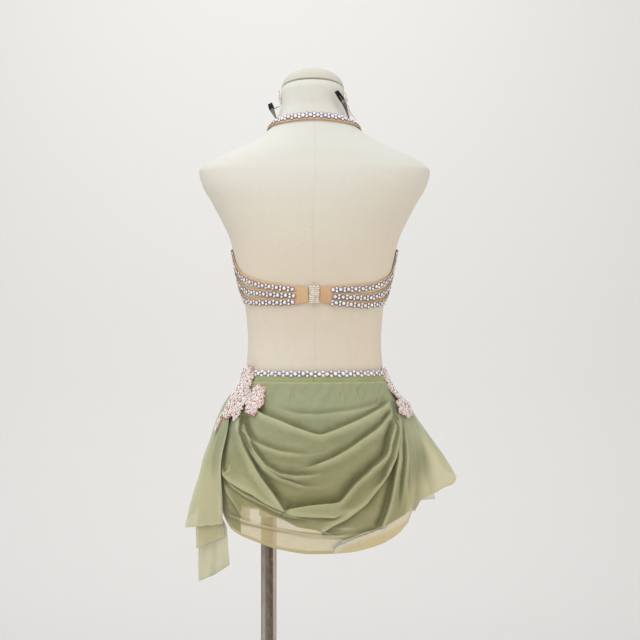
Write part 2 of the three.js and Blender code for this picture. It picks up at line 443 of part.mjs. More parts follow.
// ---------------------------------------------------------------- hair clips
// share of the length, width and depth along the clip
const CLIP_RINGS = [[0, 3, 2], [0.3, 6, 3.6], [0.58, 8, 5.2], [0.7, 9.5, 6], [0.86, 8.5, 4.6], [1, 7, 2.4]];
const at = (across, back, z) => new THREE.Vector3(BODY_X + across, back, z);
clip('hair_clip_left', body(60, 1410).addScaledVector(outward(60, 1410), 3.9), at(72, 25, 1439), new THREE.Vector3(1, 0.6, 0));
clip('hair_clip_right', body(-55, 1410).addScaledVector(outward(-55, 1410), 4.3), at(-36, 44, 1456), new THREE.Vector3(-0.7, 0.8, 0));
motif('hair_lace_left', { bearing: 82, z: 1449, wide: 6, tall: 10, lean: 0, lift: 0, lobes: 5, wave: 0.14, turn: 0 }, () => 1.5, 20, 2, WALL);
motif('hair_lace_right', { bearing: -84, z: 1437, wide: 9, tall: 15, lean: 10, lift: 0, lobes: 6, wave: 0.14, turn: 0 }, () => 1.5, 20, 2, WALL);

export default group;
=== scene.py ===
import math
import random

import bmesh
import bpy
import numpy as np
from mathutils import Matrix, Vector, noise


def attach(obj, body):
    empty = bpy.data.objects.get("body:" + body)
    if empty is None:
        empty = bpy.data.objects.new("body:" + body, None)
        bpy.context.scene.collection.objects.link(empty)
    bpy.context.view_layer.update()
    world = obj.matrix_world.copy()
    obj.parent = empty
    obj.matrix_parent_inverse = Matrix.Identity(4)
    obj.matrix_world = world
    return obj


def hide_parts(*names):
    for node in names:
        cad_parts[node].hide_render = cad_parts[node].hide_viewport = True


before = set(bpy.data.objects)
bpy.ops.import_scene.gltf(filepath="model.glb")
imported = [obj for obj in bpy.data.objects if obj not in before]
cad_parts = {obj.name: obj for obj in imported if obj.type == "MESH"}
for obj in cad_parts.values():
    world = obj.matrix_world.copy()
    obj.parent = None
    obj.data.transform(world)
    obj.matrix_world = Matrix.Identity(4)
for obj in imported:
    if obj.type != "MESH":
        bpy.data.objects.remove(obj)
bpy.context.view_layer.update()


# ---- What all the pieces share: how a mesh is put in the scene and thickened, and the
# nodes for colour, grain and relief that their finishes are made of.
def piece_of(name, bm, smooth=True):
    mesh = bpy.data.meshes.new(name)
    bm.to_mesh(mesh)
    bm.free()
    mesh.polygons.foreach_set("use_smooth", [smooth] * len(mesh.polygons))
    piece = bpy.data.objects.new(name, mesh)
    bpy.context.scene.collection.objects.link(piece)
    return piece


def thicken(piece, thick, side):
    """Gives a sheet its thickness in mm, on the side its faces look to or the other."""
    shell = piece.modifiers.new("shell", "SOLIDIFY")
    shell.thickness, shell.offset = thick / 1000, side


def wear(piece, material, slot, *nodes):
    """Puts the finish on a piece that stands on the frame, and hides the solids it stands for."""
    piece.data.materials.append(material)
    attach(piece, "root")
    if nodes:
        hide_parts(*nodes)
    return piece


def reclothe(node, material):
    """Gives a solid of the frame that stays as it is its own cloth."""
    solid = bpy.data.objects[node]
    solid.data.materials.clear()
    solid.data.materials.append(material)


def tune(material, **values):
    shader = material.node_tree.nodes["Principled BSDF"]
    for name, value in values.items():
        shader.inputs[name.replace("_", " ")].default_value = value


def finish(name, colour, roughness, metallic=0.0):
    material = bpy.data.materials.new(name)
    material.use_nodes = True
    tune(material, Base_Color=(*colour, 1), Roughness=roughness, Metallic=metallic)
    return material


def add_node(material, kind, settings=None, **inputs):
    """A node of that kind; an input is given by its name or, as _0, by its number."""
    n = material.node_tree.nodes.new("ShaderNode" + kind)
    for k, v in (settings or {}).items():
        setattr(n, k, v)
    for k, v in inputs.items():
        socket = n.inputs[int(k[1:])] if k[0] == "_" else n.inputs[k.replace("_", " ")]
        if isinstance(v, bpy.types.NodeSocket):
            material.node_tree.links.new(v, socket)
        else:
            socket.default_value = v
    return n


def wire(material, source, target):
    material.node_tree.links.new(source, material.node_tree.nodes["Principled BSDF"].inputs[target])


def object_place(material):
    return add_node(material, "TexCoord").outputs["Object"]


def height_of(material, where):
    return add_node(material, "SeparateXYZ", Vector=where).outputs["Z"]


def painted(material, name, output="Fac"):
    """A value or colour that a mesh carries at its points or corners."""
    return add_node(material, "Attribute", {"attribute_name": name}).outputs[output]


def cloud(material, where, scale, detail, roughness=0.5):
    return add_node(material, "TexNoise", Vector=where, Scale=scale, Detail=detail,
                    Roughness=roughness).outputs["Fac"]


def bands(material, where, direction, scale, distortion, **more):
    return add_node(material, "TexWave", {"bands_direction": direction}, Vector=where, Scale=scale,
                    Distortion=distortion, **more).outputs["Fac"]


def ramp(material, value, low=0.0, high=1.0, to_low=0.0, to_high=1.0):
    return add_node(material, "MapRange", Value=value, From_Min=low, From_Max=high, To_Min=to_low,
                    To_Max=to_high).outputs[0]


def reckon(material, operation, *values):
    inputs = {f"_{i}": value for i, value in enumerate(values)}
    return add_node(material, "Math", {"operation": operation}, **inputs).outputs[0]


def blend(material, share, one, two, how="MIX"):
    """A colour between two, each given as numbers or as what a node puts out."""
    one, two = (c if isinstance(c, bpy.types.NodeSocket) else (*c, 1) for c in (one, two))
    settings = {"data_type": "RGBA", "blend_type": how}
    return add_node(material, "Mix", settings, _0=share, _6=one, _7=two).outputs[2]


def relief(material, height, strength, distance):
    bump = add_node(material, "Bump", Height=height, Strength=strength, Distance=distance)
    wire(material, bump.outputs["Normal"], "Normal")


# ---- Camera: behind the form and level with its lower back, looking along -Y, with
# the body's centre a little right of the middle of the frame.
view_camera = bpy.data.cameras.new("back_view")
view_camera.sensor_width = 36.0
view_camera.lens = 82.3
camera = bpy.data.objects.new("back_view", view_camera)
camera.location = (-0.084, 2.4, 1.087)
camera.rotation_euler = (math.pi / 2, 0, math.pi)
bpy.context.scene.collection.objects.link(camera)
bpy.context.scene.camera = camera

# ---- Studio: a pale seamless floor that curves up behind the form, one big soft
# light above the camera, one from each side, and an even pale sky.
FLOOR_START, FLOOR_END, BEND_LENGTH, BEND_RADIUS = 4.0, -2.5, 1.6, 1.0
PAPER_HALF, WALL_STRETCH = 6.0, 2.2
paper = bmesh.new()
bmesh.ops.create_grid(paper, x_segments=8, y_segments=48, size=1.0)
for v in paper.verts:
    along = (1 - v.co.y) * 5.0
    past_floor = max(0, along - (FLOOR_START - FLOOR_END))
    past_bend = max(0, past_floor - BEND_LENGTH)
    turn = min(1, past_floor / BEND_LENGTH) * math.pi / 2
    v.co = (v.co.x * PAPER_HALF, FLOOR_START - (along - past_floor) - BEND_RADIUS * math.sin(turn),
            BEND_RADIUS * (1 - math.cos(turn)) + past_bend * WALL_STRETCH)
bmesh.ops.recalc_face_normals(paper, faces=paper.faces)
floor = piece_of("seamless_paper", paper)
floor.data.materials.append(finish("paper_white", (0.775, 0.765, 0.75), 0.95))
for lamp_name, place, aim, size, watts, tint in (
    ("overhead_softbox", (0.3, 1.0, 3.3), (-0.08, 0.1, 1.1), 1.6, 40, (0.90, 0.97, 1.0)),
    ("room_fill", (0.9, 3.4, 1.2), (-0.1, 0, 1.0), 2.2, 30, (1.0, 0.90, 0.79)),
    ("side_softbox_left", (2.6, 0.9, 1.9), (-0.1, 0, 1.0), 1.3, 14, (0.96, 0.99, 1.0)),
    ("side_softbox_right", (-2.6, 0.3, 1.0), (-0.1, 0, 0.9), 1.3, 20, (1.0, 0.90, 0.79)),
    ("paper_wash", (0.2, -1.4, 3.4), (0.0, -3.4, 1.0), 2.0, 25, (0.99, 0.99, 1.0)),
):
    lamp = bpy.data.lights.new(lamp_name, "AREA")
    lamp.size = size
    lamp.energy = watts
    lamp.color = tint
    stand = bpy.data.objects.new(lamp_name, lamp)
    stand.location = place
    stand.rotation_euler = (Vector(aim) - Vector(place)).to_track_quat("-Z", "Y").to_euler()
    bpy.context.scene.collection.objects.link(stand)
sky = bpy.data.worlds.new("pale_room")
sky.use_nodes = True
sky.node_tree.nodes["Background"].inputs["Color"].default_value = (0.95, 0.95, 0.955, 1)
sky.node_tree.nodes["Background"].inputs["Strength"].default_value = 0.60
bpy.context.scene.world = sky
bpy.context.scene.view_settings.view_transform = "Standard"

# ---- Dress form: a limbless torso of papier mache covered in cream linen jersey.
# One smooth skin through the body sections, drawn in round the lower rim and
# level with the neck seam at the top.
BODY_X, ROUNDNESS = -75.0, 2.2
FORM_BOTTOM, FORM_TOP = 786.0, 1459.0
NECK_TILT, NECK_Y, NECK_LEAN, NECK_LOW, NECK_HIGH = 0.34, -13.0, 3.0, 1385, 1445
BUST_Z, BUST_X, BUST_TALL, BUST_WIDE, BUST_DEEP = 1182, 72, 48, 52, 34
SIDES = (1, "left"), (-1, "right")
BODY_SECTIONS = (  # height, half width, depth behind, depth in front
    (640, 150, 112, 92), (720, 152, 114, 92), (800, 156, 118, 93), (860, 160, 121, 95),
    (907, 152, 117, 94), (948, 138, 102, 91), (980, 122, 86, 86), (1005, 112, 77, 82),
    (1054, 109, 74, 82), (1107, 113, 78, 88), (1160, 125, 84, 98), (1200, 133, 87, 104),
    (1221, 139, 88, 106), (1249, 152, 88, 106), (1279, 168, 87, 102), (1308, 184, 84, 97),
    (1331, 189, 79, 91), (1343, 178, 75, 87), (1357, 152, 71, 82), (1370, 121, 66, 78),
    (1382, 98, 61, 76), (1397, 76, 55, 73), (1415, 62, 49, 70), (1440, 52, 43, 68),
    (1470, 51.5, 42, 68),
)


def mix(a, b, t):
    return a + (b - a) * t


def ease(a, b, v):
    t = min(1.0, max(0.0, (v - a) / (b - a)))
    return t * t * (3 - 2 * t)


def curve(xs, ys):
    """A smooth line through the points that never overshoots them."""
    n = len(xs)
    d = [(ys[i + 1] - ys[i]) / (xs[i + 1] - xs[i]) for i in range(n - 1)]
    m = [d[0]] + [0 if p * q <= 0 else 2 * p * q / (p + q) for p, q in zip(d, d[1:])] + [d[-1]]

    def at(x):
        if x <= xs[0]:
            return ys[0]
        if x >= xs[-1]:
            return ys[-1]
        i = 0
        while x > xs[i + 1]:
            i += 1
        h = xs[i + 1] - xs[i]
        t = (x - xs[i]) / h
        return ((2 * t ** 3 - 3 * t * t + 1) * ys[i] + (t ** 3 - 2 * t * t + t) * h * m[i]
                + (3 * t * t - 2 * t ** 3) * ys[i + 1] + (t ** 3 - t * t) * h * m[i + 1])
    return at


half_width, back_depth, front_depth = (
    curve([s[0] for s in BODY_SECTIONS], [s[k] for s in BODY_SECTIONS]) for k in (1, 2, 3))


def on_body(bearing, z, off=0.0):
    """Point off the body in mm: bearing from the back centre, to the wearer's left."""
    s, c = math.sin(math.radians(bearing)), math.cos(math.radians(bearing))
    s = math.copysign(abs(s) ** (2 / ROUNDNESS), s)
    c = math.copysign(abs(c) ** (2 / ROUNDNESS), c)
    across = half_width(z) * s
    y = (back_depth(z) + off) * c
    if c < 0:
        lift = math.exp(-((z - BUST_Z) / BUST_TALL) ** 2) * sum(
            math.exp(-((across + side * BUST_X) / BUST_WIDE) ** 2) for side in (-1, 1))
        y = (front_depth(z) + off) * c - BUST_DEEP * lift * abs(c) ** 0.8
    return Vector((BODY_X + NECK_LEAN * ease(NECK_LOW, NECK_HIGH, z) + across + off * s, y, z))


def outward(bearing, z):
    a = on_body(bearing - 1, z) - on_body(bearing + 1, z)
    b = on_body(bearing, z - 1.5) - on_body(bearing, z + 1.5)
    return b.cross(a).normalized()


def unit_grid(across, down):
    bm = bmesh.new()
    bm.loops.layers.uv.new("UVMap")
    bmesh.ops.create_grid(bm, x_segments=across, y_segments=down, size=1.0, calc_uvs=True)
    return bm


def laid_grid(name, across, down, place, closed=False):
    """A grid of cloth or skin; place(u, w) gives each point in mm."""
    bm = unit_grid(across, down)
    for v in bm.verts:
        v.co = place((v.co.x + 1) / 2, (v.co.y + 1) / 2) / 1000
    if closed:
        bmesh.ops.remove_doubles(bm, verts=bm.verts, dist=2e-6)
        bmesh.ops.recalc_face_normals(bm, faces=bm.faces)
    return piece_of(name, bm)


def linen(name, colour, warm, high):
    """Jersey: fine crossed threads in relief, slubs, a patchy warmer tone, and painted light that makes it
    cooler at the top than lower down.
    """
    m = finish(name, colour, 0.82)
    where = object_place(m)
    aged = ramp(m, cloud(m, where, 5.0, 4.0), 0.35, 0.7)
    slub = cloud(m, where, 190.0, 3.0, 0.7)
    flecked = ramp(m, slub, 0.55, 0.8, 0, 0.35)
    # Painted light: towards the top the colour turns to the cooler high tint, as cool light falls from
    # above.
    upper = ramp(m, height_of(m, where), 1.19, 1.36)
    tint = blend(m, upper, blend(m, aged, colour, warm), high)
    wire(m, blend(m, flecked, tint, (0.80, 0.74, 0.64), "MULTIPLY"), "Base Color")
    threads = reckon(m, "ADD", bands(m, where, "Z", 420.0, 1.5), bands(m, where, "X", 420.0, 1.5))
    relief(m, reckon(m, "MULTIPLY_ADD", slub, 2.0, threads), 0.25, 0.0004)
    tune(m, Sheen_Weight=0.15, Sheen_Roughness=0.5)
    return m


cream_linen = linen("cream_linen", (0.625, 0.558, 0.46), (0.62, 0.54, 0.43), (0.595, 0.58, 0.525))
RIM_DRAW = curve([0, 0.5, 0.75, 0.9, 1], [70, 24, 13, 5, 1.6])
RIM_RISE = curve([0, 0.5, 0.75, 0.9, 1], [0, 0, 1.2, 5, 11])
# Shares of the skin's length where the rim starts and ends, and where the neck's edge starts
# and ends; then how deep that edge is.
RIM_START, RIM_END, EDGE_START, EDGE_END, EDGE_DEEP = 0.035, 0.07, 0.97, 0.9835, 14


def form_skin(u, w):
    """From the middle of the flat underside, round the rim, up the body and in over the neck."""
    a = u * 360
    if w < RIM_START:
        rim = on_body(a, FORM_BOTTOM, -24)
        return Vector((mix(BODY_X, rim.x, w / RIM_START), rim.y * w / RIM_START, FORM_BOTTOM))
    if w < RIM_END:
        return on_body(a, FORM_BOTTOM + RIM_RISE(w / RIM_END), -RIM_DRAW(w / RIM_END))
    if w < EDGE_START:
        share = (w - RIM_END) / (EDGE_START - RIM_END)
        return on_body(a, mix(FORM_BOTTOM + RIM_RISE(1), FORM_TOP - EDGE_DEEP, share))
    rise = min(1, (w - EDGE_START) / (EDGE_END - EDGE_START))
    inward = max(0, (w - EDGE_END) / (1 - EDGE_END))
    p = on_body(a, mix(FORM_TOP - EDGE_DEEP, FORM_TOP - 0.5, rise))
    p.x, p.y = mix(p.x, BODY_X + NECK_LEAN, inward), mix(p.y, NECK_Y, inward)
    p.z += rise * NECK_TILT * (p.y - NECK_Y)
    return p


form = laid_grid("dress_form", 144, 230, form_skin, closed=True)
wear(form, cream_linen, "form_linen", "form_torso")


# ---- Seams of the form's cover: one down the back centre, one each side over the
# shoulder blade, one round each armhole, and the same plainly in front. Each is a
# narrow ridge of folded jersey with its stitching.
def route(path, off=0.0, count=240):
    """Points along a line on the body: place, outward, along and distance."""
    n = len(path)
    bearing = curve(range(n), [p[0] for p in path])
    height = curve(range(n), [p[1] for p in path])
    places, length = [], 0.0
    for i in range(count + 1):
        t = i * (n - 1) / count
        out = outward(bearing(t), height(t))
        p = on_body(bearing(t), height(t)) + out * off
        if places:
            length += (p - places[-1][0]).length
        places.append([p, out, t, length])
    for i, q in enumerate(places):
        q.append((places[min(i + 1, count)][0] - places[max(i - 1, 0)][0]).normalized())
    return places


def step_along(places, distance):
    i = 1
    while i < len(places) - 1 and places[i][3] < distance:
        i += 1
    a, b = places[i - 1], places[i]
    t = (distance - a[3]) / max(1e-6, b[3] - a[3])
    out, along = a[1].lerp(b[1], t).normalized(), a[4].lerp(b[4], t).normalized()
    return a[0].lerp(b[0], t), out, along, mix(a[2], b[2], t)


def band_on_body(name, path, width, off, thick, steps=120, across=6, crown=0.0, wave=0.0):
    """A tape of cloth laid along a line on the body; width is a number or a curve."""
    places = route(path, off)
    total = places[-1][3]
    seed = len(name) * 7.3

    def place(u, w):
        p, out, along, t = step_along(places, w * total)
        side = out.cross(along)
        wide = width(t) if callable(width) else width
        ripple = wave * noise.noise(Vector((w * total / 9, u * 2, seed)))
        return p + side * (u - 0.5) * wide + out * (thick + crown * (1 - (2 * u - 1) ** 2) + ripple)
    piece = laid_grid(name, across, steps, place)
    thicken(piece, thick, 1)
    return piece, places, total


seam_thread = linen("seam_thread", (0.625, 0.56, 0.46), (0.615, 0.54, 0.43), (0.60, 0.58, 0.515))
FORM_SEAMS = {  # bearing and height along each seam, and how high its ridge stands
    "back": (((0.3, 1472), (0, 1420), (-0.4, 1340), (0.5, 1240), (0.2, 1130), (-0.4, 1050),
              (0, 960), (0, 800)), 0.2),
    "blade_left": (((73, 1350), (71, 1337), (65, 1311), (61, 1274), (59, 1243), (58, 1205), (56, 1168),
                    (50, 1119), (42, 1087), (33, 1047), (25, 1007), (23, 930), (22, 800)), 0.02),
    "blade_right": (((-75, 1350), (-73, 1338), (-62, 1304), (-57, 1272), (-55, 1238), (-56, 1210),
                     (-55, 1178), (-53, 1142), (-48, 1100), (-40, 1055), (-30, 1007), (-28, 930),
                     (-26, 800)), 0.02),
    "front": (((180, 1440), (180, 1330), (180, 1230), (180, 1120), (180, 1000), (180, 900),
               (180, 800)), 0.2),
}
for side, hand in SIDES:
    armhole = ((73, 1352), (96, 1352), (116, 1330), (119, 1290), (112, 1240), (98, 1214), (90, 1206))
    FORM_SEAMS["arm_" + hand] = tuple((side * b, z) for b, z in armhole), 0.05
    FORM_SEAMS["side_" + hand] = tuple((side * 90, z) for z in (1212, 1120, 1000, 900, 800)), 0.03
for label, (path, ridge) in FORM_SEAMS.items():
    seam, _, _ = band_on_body("form_seam_" + label, path, 1.1, 0.0, 0.06, 150, 4, ridge, 0.03)
    wear(seam, seam_thread, "form_linen")

# ---- Neck cap: a domed wooden plug covered in paler linen, tilted forward, with a
# sewn edge that stands on the neck.
pale_linen = linen("pale_linen", (0.52, 0.50, 0.415), (0.52, 0.49, 0.40), (0.52, 0.50, 0.42))
CAP_RISE = curve(range(8), [0, 0.5, 9, 15, 21, 27, 30.5, 32.2])
CAP_DRAW = curve(range(8), [0.5, 0, 2.4, 6.6, 13.5, 25, 37, 60])


def cap_skin(u, w):
    """From the middle of the underside out to the sewn edge, then up and over the dome."""
    step = max(0, (w - 0.12) / 0.88 * 7)
    draw = mix(60, 1.2, w / 0.12) if w < 0.12 else CAP_DRAW(step)
    inward = max(0, (draw - 37) / 23)
    p = on_body(u * 360, 1465, -min(draw, 37) - 0.15)
    p.x, p.y = mix(p.x, BODY_X + NECK_LEAN, inward), mix(p.y, NECK_Y, inward)
    p.z = FORM_TOP + 0.3 + CAP_RISE(step) + NECK_TILT * (p.y - NECK_Y)
    return p


cap = laid_grid("neck_cap", 96, 60, cap_skin, closed=True)
wear(cap, pale_linen, "form_cap_linen", "form_neck_cap")


# ---- Stand: round weighted plate, collar and a worn steel tube, with a short
# linen-covered socket where the tube goes into the form. The tube's light side strips and dark middle are
# painted reflections.
def spun(name, profile, around=96):
    """Turned piece on the tube's axis: profile is (radius, height) in mm, bottom up."""
    bm = bmesh.new()
    ends = (0, profile[0][1]), (0, profile[-1][1])
    line = [bm.verts.new((r / 1000, 0, z / 1000)) for r, z in [ends[0], *profile, ends[1]]]
    edges = [bm.edges.new(pair) for pair in zip(line, line[1:])]
    bmesh.ops.spin(bm, geom=line + edges, cent=(0, 0, 0), axis=(0, 0, 1), angle=2 * math.pi,
                   steps=around, use_merge=True)
    bmesh.ops.remove_doubles(bm, verts=bm.verts, dist=1e-6)
    bmesh.ops.recalc_face_normals(bm, faces=bm.faces)
    piece = piece_of(name, bm)
    piece.data.set_sharp_from_angle(angle=math.radians(40))
    return piece


def rounded(radius, low, high, edge, steps=5):
    """Profile of a disc with rounded edges."""
    turn = [math.pi / 2 * i / steps for i in range(steps + 1)]
    return ([(radius - edge + edge * math.sin(a), low + edge - edge * math.cos(a)) for a in turn]
            + [(radius - edge + edge * math.cos(a), high - edge + edge * math.sin(a)) for a in turn])


TUBE_RADIUS = 12.7
tube_wear_and_reflections = finish("tube_wear_and_reflections", (0.20, 0.15, 0.11), 0.38, 0.5)
where = object_place(tube_wear_and_reflections)
stretched = add_node(tube_wear_and_reflections, "Mapping", Vector=where, Scale=(1, 1, 0.45)).outputs[0]
patches = cloud(tube_wear_and_reflections, stretched, 170.0, 6.0, 0.75)
# Across the tube, as seen from behind: light strips near each side and a dark middle, painted reflections of
# the studio; the pits laid over them are wear.
across_tube = add_node(tube_wear_and_reflections, "SeparateXYZ", Vector=where).outputs["X"]
strip = ramp(tube_wear_and_reflections, across_tube, -TUBE_RADIUS / 1000, TUBE_RADIUS / 1000)
painted_reflection_strips = add_node(tube_wear_and_reflections, "ValToRGB", Fac=strip)
painted_reflection_strips.color_ramp.elements[0].color = (0.40, 0.36, 0.33, 1)
painted_reflection_strips.color_ramp.elements[1].color = (0.10, 0.085, 0.075, 1)
for at, tone in ((0.16, (0.42, 0.37, 0.34)), (0.24, (0.085, 0.06, 0.045)), (0.46, (0.10, 0.072, 0.055)),
                 (0.66, (0.15, 0.115, 0.092)), (0.76, (0.40, 0.37, 0.34)), (0.88, (0.44, 0.41, 0.39)),
                 (0.94, (0.26, 0.235, 0.215))):
    painted_reflection_strips.color_ramp.elements.new(at).color = (*tone, 1)
pits = ramp(tube_wear_and_reflections, patches, 0.42, 0.66, 0, 0.55)
wire(tube_wear_and_reflections, blend(tube_wear_and_reflections, pits, painted_reflection_strips.outputs["Color"], (0.26, 0.21, 0.175)), "Base Color")
wire(tube_wear_and_reflections, ramp(tube_wear_and_reflections, patches, 0.3, 0.7, 0.55, 0.3), "Roughness")
relief(tube_wear_and_reflections, patches, 0.3, 0.0005)

powder_coat = finish("powder_coat", (0.075, 0.07, 0.065), 0.5, 0.1)
where = object_place(powder_coat)
scuffs = ramp(powder_coat, cloud(powder_coat, where, 14.0, 8.0, 0.7), 0.55, 0.75)
wire(powder_coat, blend(powder_coat, scuffs, (0.07, 0.065, 0.06), (0.14, 0.13, 0.12)), "Base Color")
relief(powder_coat, cloud(powder_coat, where, 900.0, 2.0), 0.3, 0.0003)

plate = spun("stand_plate", rounded(170, 0, 8, 3))
wear(plate, powder_coat, "base_metal", "base_plate")
collar = spun("stand_collar", [(28, 8.3), (28, 15), (27.4, 16.6), (24, 20.5), (23, 23), (22.6, 42),
                               (21.6, 45.4), (20, 46.3)])
wear(collar, powder_coat, "base_metal", "base_collar")
tube = spun("stand_tube", [(TUBE_RADIUS, z) for z in (46.6, 300, 560, 765.3)], 64)
wear(tube, tube_wear_and_reflections, "pole_metal", "pole")
socket = spun("form_socket", rounded(16, 765.6, 785.7, 3)[:6] + [(16, 785.7)], 64)
wear(socket, cream_linen, "form_linen", "pole_socket")

# ---- Bra cups: two moulded cups of sage knit over a nude base, set close side by side
# at the centre front, each with a narrow bound edge all round.
CUP_START, CUP_END = 92, 178.6
CUP_BEARINGS = (CUP_START, 108, 124, 140, 153, 166, CUP_END)
CUP_TOP = curve(CUP_BEARINGS, (1201, 1206, 1218, 1238, 1256, 1216, 1176))
CUP_LOW = curve(CUP_BEARINGS, (1124, 1112, 1104, 1102, 1102, 1106, 1118))


def knit(name, colour, deep, wale=620.0):
    """Matt stretch jersey with fine ribs and a soft uneven tone."""
    m = finish(name, colour, 0.75)
    where = object_place(m)
    share = ramp(m, cloud(m, where, 40.0, 4.0), 0.35, 0.7, 0, 0.8)
    wire(m, blend(m, share, colour, deep), "Base Color")
    relief(m, bands(m, where, "Z", wale, 0.8), 0.3, 0.0003)
    tune(m, Sheen_Weight=0.25)
    return m


sage_knit = knit("sage_knit", (0.275, 0.30, 0.13), (0.225, 0.25, 0.098))
nude_elastic = knit("nude_elastic", (0.60, 0.385, 0.215), (0.52, 0.32, 0.17), 900.0)
for side, hand in SIDES:
    def cup_face(u, w):
        b = mix(CUP_START, CUP_END, u)
        return on_body(side * b, mix(CUP_LOW(b), CUP_TOP(b), w), 2.7)
    cup = laid_grid("bra_cup_" + hand, 90, 60, cup_face)
    thicken(cup, 1.3, side)
    wear(cup, sage_knit, "sage_knit", "bra_cup_" + hand)
    edges = {"top": [(side * b, CUP_TOP(b)) for b in range(95, 179, 6)],
             "low": [(side * b, CUP_LOW(b)) for b in range(95, 179, 6)],
             "side": [(side * 91.4, z) for z in range(1124, 1203, 6)]}
    for edge, path in edges.items():
        bound, _, _ = band_on_body(f"cup_edge_{edge}_{hand}", path, 3.4, 3.9, 0.5, 90, 6, crown=0.5)
        wear(bound, nude_elastic, "nude_elastic")

# ---- Straps: nude elastic covered in stretch mesh. The halter goes round the neck from
# cup to cup; three straps a side cross the back and meet at a tab.
HALTER_HALF = ((158.5, 1260), (160, 1292), (160, 1326), (147, 1366), (116, 1394), (84, 1403.5),
               (45, 1410), (0, 1414))
halter_path = list(HALTER_HALF) + [(-b, z) for b, z in HALTER_HALF[-2::-1]]
BACK_STRAPS = {  # bearing, height and width
    "left_top": ((90.2, 1195, 11), (80, 1174, 11), (66, 1157.3, 11.6), (41, 1143.9, 12.4),
                 (10, 1136.2, 10)),
    "left_middle": ((90.2, 1160, 11), (76, 1145, 11), (63, 1135.2, 11.6), (38, 1130, 12),
                    (10, 1126.6, 9.6)),
    "left_bottom": ((90.2, 1132, 11), (79, 1124.4, 11), (62, 1117.9, 11.6), (36, 1116.2, 12),
                    (10, 1117.0, 10)),
    "right_top": ((-90.2, 1195, 11), (-82, 1164, 11), (-66, 1149.6, 11.6), (-41, 1139.4, 12),
                  (-10, 1136.0, 10)),
    "right_middle": ((-90.2, 1156, 11), (-81, 1140.5, 11), (-66, 1131.5, 11.6), (-41, 1124.0, 11.6),
                     (-10, 1126.2, 9.6)),
    "right_bottom": ((-90.2, 1129, 11), (-80, 1120, 10.6), (-62, 1114.6, 11.2), (-41, 1112, 11.4),
                     (-10, 1116.6, 9.6)),
}
STRAP_THICK = 1.3
halter_wide = curve((0, 3, 7, 11, 14), (11, 11.4, 12, 11.4, 11))
halter, halter_line, halter_length = band_on_body(
    "halter", halter_path, halter_wide, 1.6, STRAP_THICK, 260, 8, crown=0.5)
wear(halter, nude_elastic, "nude_elastic", "halter_strap")
strap_lines = {}
for label, rows in BACK_STRAPS.items():
    path, wide = [r[:2] for r in rows], curve(range(5), [r[2] for r in rows])
    strap, line, length = band_on_body("strap_" + label, path, wide, 0.9, STRAP_THICK, 120, 8, crown=0.45)
    wear(strap, nude_elastic, "nude_elastic", "back_strap_" + label)
    strap_lines[label] = line, length

# ---- Crystals: flat-backed glass stones with a rainbow coating, glued on one by one.
# One large stone, then an upright pair of small ones, and so on along each strap.
crystal = finish("rainbow_crystal", (0.86, 0.86, 0.88), 0.2, 0.0)
# Each face's colour feeds both the base and a faint glow, painted light, as the stones are no lamps.
glint = painted(crystal, "glint", "Color")
wire(crystal, glint, "Base Color")
wire(crystal, glint, "Emission Color")
tune(crystal, Coat_Weight=0.5, Coat_Roughness=0.05, Emission_Strength=0.05)
# Colours of the stones' flat tops, and of the small faces round them, which mix the coating's tints with
# painted reflections, light and dark.
TABLES = ((0.80, 0.76, 0.81), (0.80, 0.66, 0.73), (0.70, 0.65, 0.81), (0.66, 0.77, 0.73),
          (0.82, 0.77, 0.64), (0.80, 0.78, 0.77), (0.75, 0.72, 0.81), (0.82, 0.74, 0.71))
FACET_TINTS_AND_REFLECTIONS = ((0.62, 0.52, 0.62), (0.40, 0.33, 0.45), (0.26, 0.22, 0.30), (0.66, 0.50, 0.54),
          (0.46, 0.52, 0.52), (0.78, 0.74, 0.80), (0.17, 0.13, 0.17), (0.54, 0.44, 0.36))


def set_stones(name, places, tables=TABLES, dark=0.16):
    """One joined mesh of cut stones: each place is (centre in mm, outward, along, diameter)."""
    bm = bmesh.new()
    colour = bm.loops.layers.float_color.new("glint")
    chance = random.Random(len(places) + len(name))
    for centre, out, along, wide in places:
        side = out.cross(along).normalized()
        turn = Matrix((side, out.cross(side), out)).transposed().to_4x4()
        spin = Matrix.Rotation(chance.random(), 4, "Z")
        high, r = wide * 0.26, wide / 2000
        spot = Matrix.Translation((centre + out * high / 2) / 1000) @ turn @ spin
        made = bmesh.ops.create_cone(bm, cap_ends=True, segments=8, radius1=r * 1.34,
                                     radius2=r * 0.97, depth=high / 2000, matrix=spot)
        faces = {f for v in made["verts"] for f in v.link_faces}
        table = max(faces, key=lambda f: f.normal.dot(out) * 10 + f.calc_center_median().dot(out))
        inset = bmesh.ops.inset_region(bm, faces=[table], thickness=r * 0.34, depth=high / 2000)
        crown = set(inset["faces"])
        body = Vector(chance.choice(tables))
        for face in faces | crown:
            tone = Vector(chance.choice(FACET_TINTS_AND_REFLECTIONS)).lerp(body, 0.42 if face in crown else 0.0)
            if face is table:
                tone = body
            # Skirt faces round each stone are darkened: painted shadow that fills the gaps between stones.
            elif face not in crown:
                tone = tone * dark
            for corner in face.loops:
                corner[colour] = (*tone, 1)
    return piece_of(name, bm, smooth=False)


def stone_row(line, length, first, last, pitch, big, small, apart, lift, shift=0.0, seed=1):
    """Places for the row pattern along a strap, from its first to its last millimetre."""
    chance = random.Random(seed)
    places, at, pair = [], first, False
    while at < last:
        p, out, along, _ = step_along(line, at)
        side = out.cross(along).normalized()
        side = side if side.z > 0 else -side
        for s in ((apart / 2, -apart / 2) if pair else (0,)):
            spot = p + out * lift + side * (s + shift + chance.uniform(-0.3, 0.3))
            facing = (out + side * chance.uniform(-0.1, 0.1)).normalized()
            places.append((spot, facing, along, small if pair else big))
        at += pitch / 2 + chance.uniform(-0.35, 0.35)
        pair = not pair
    return places


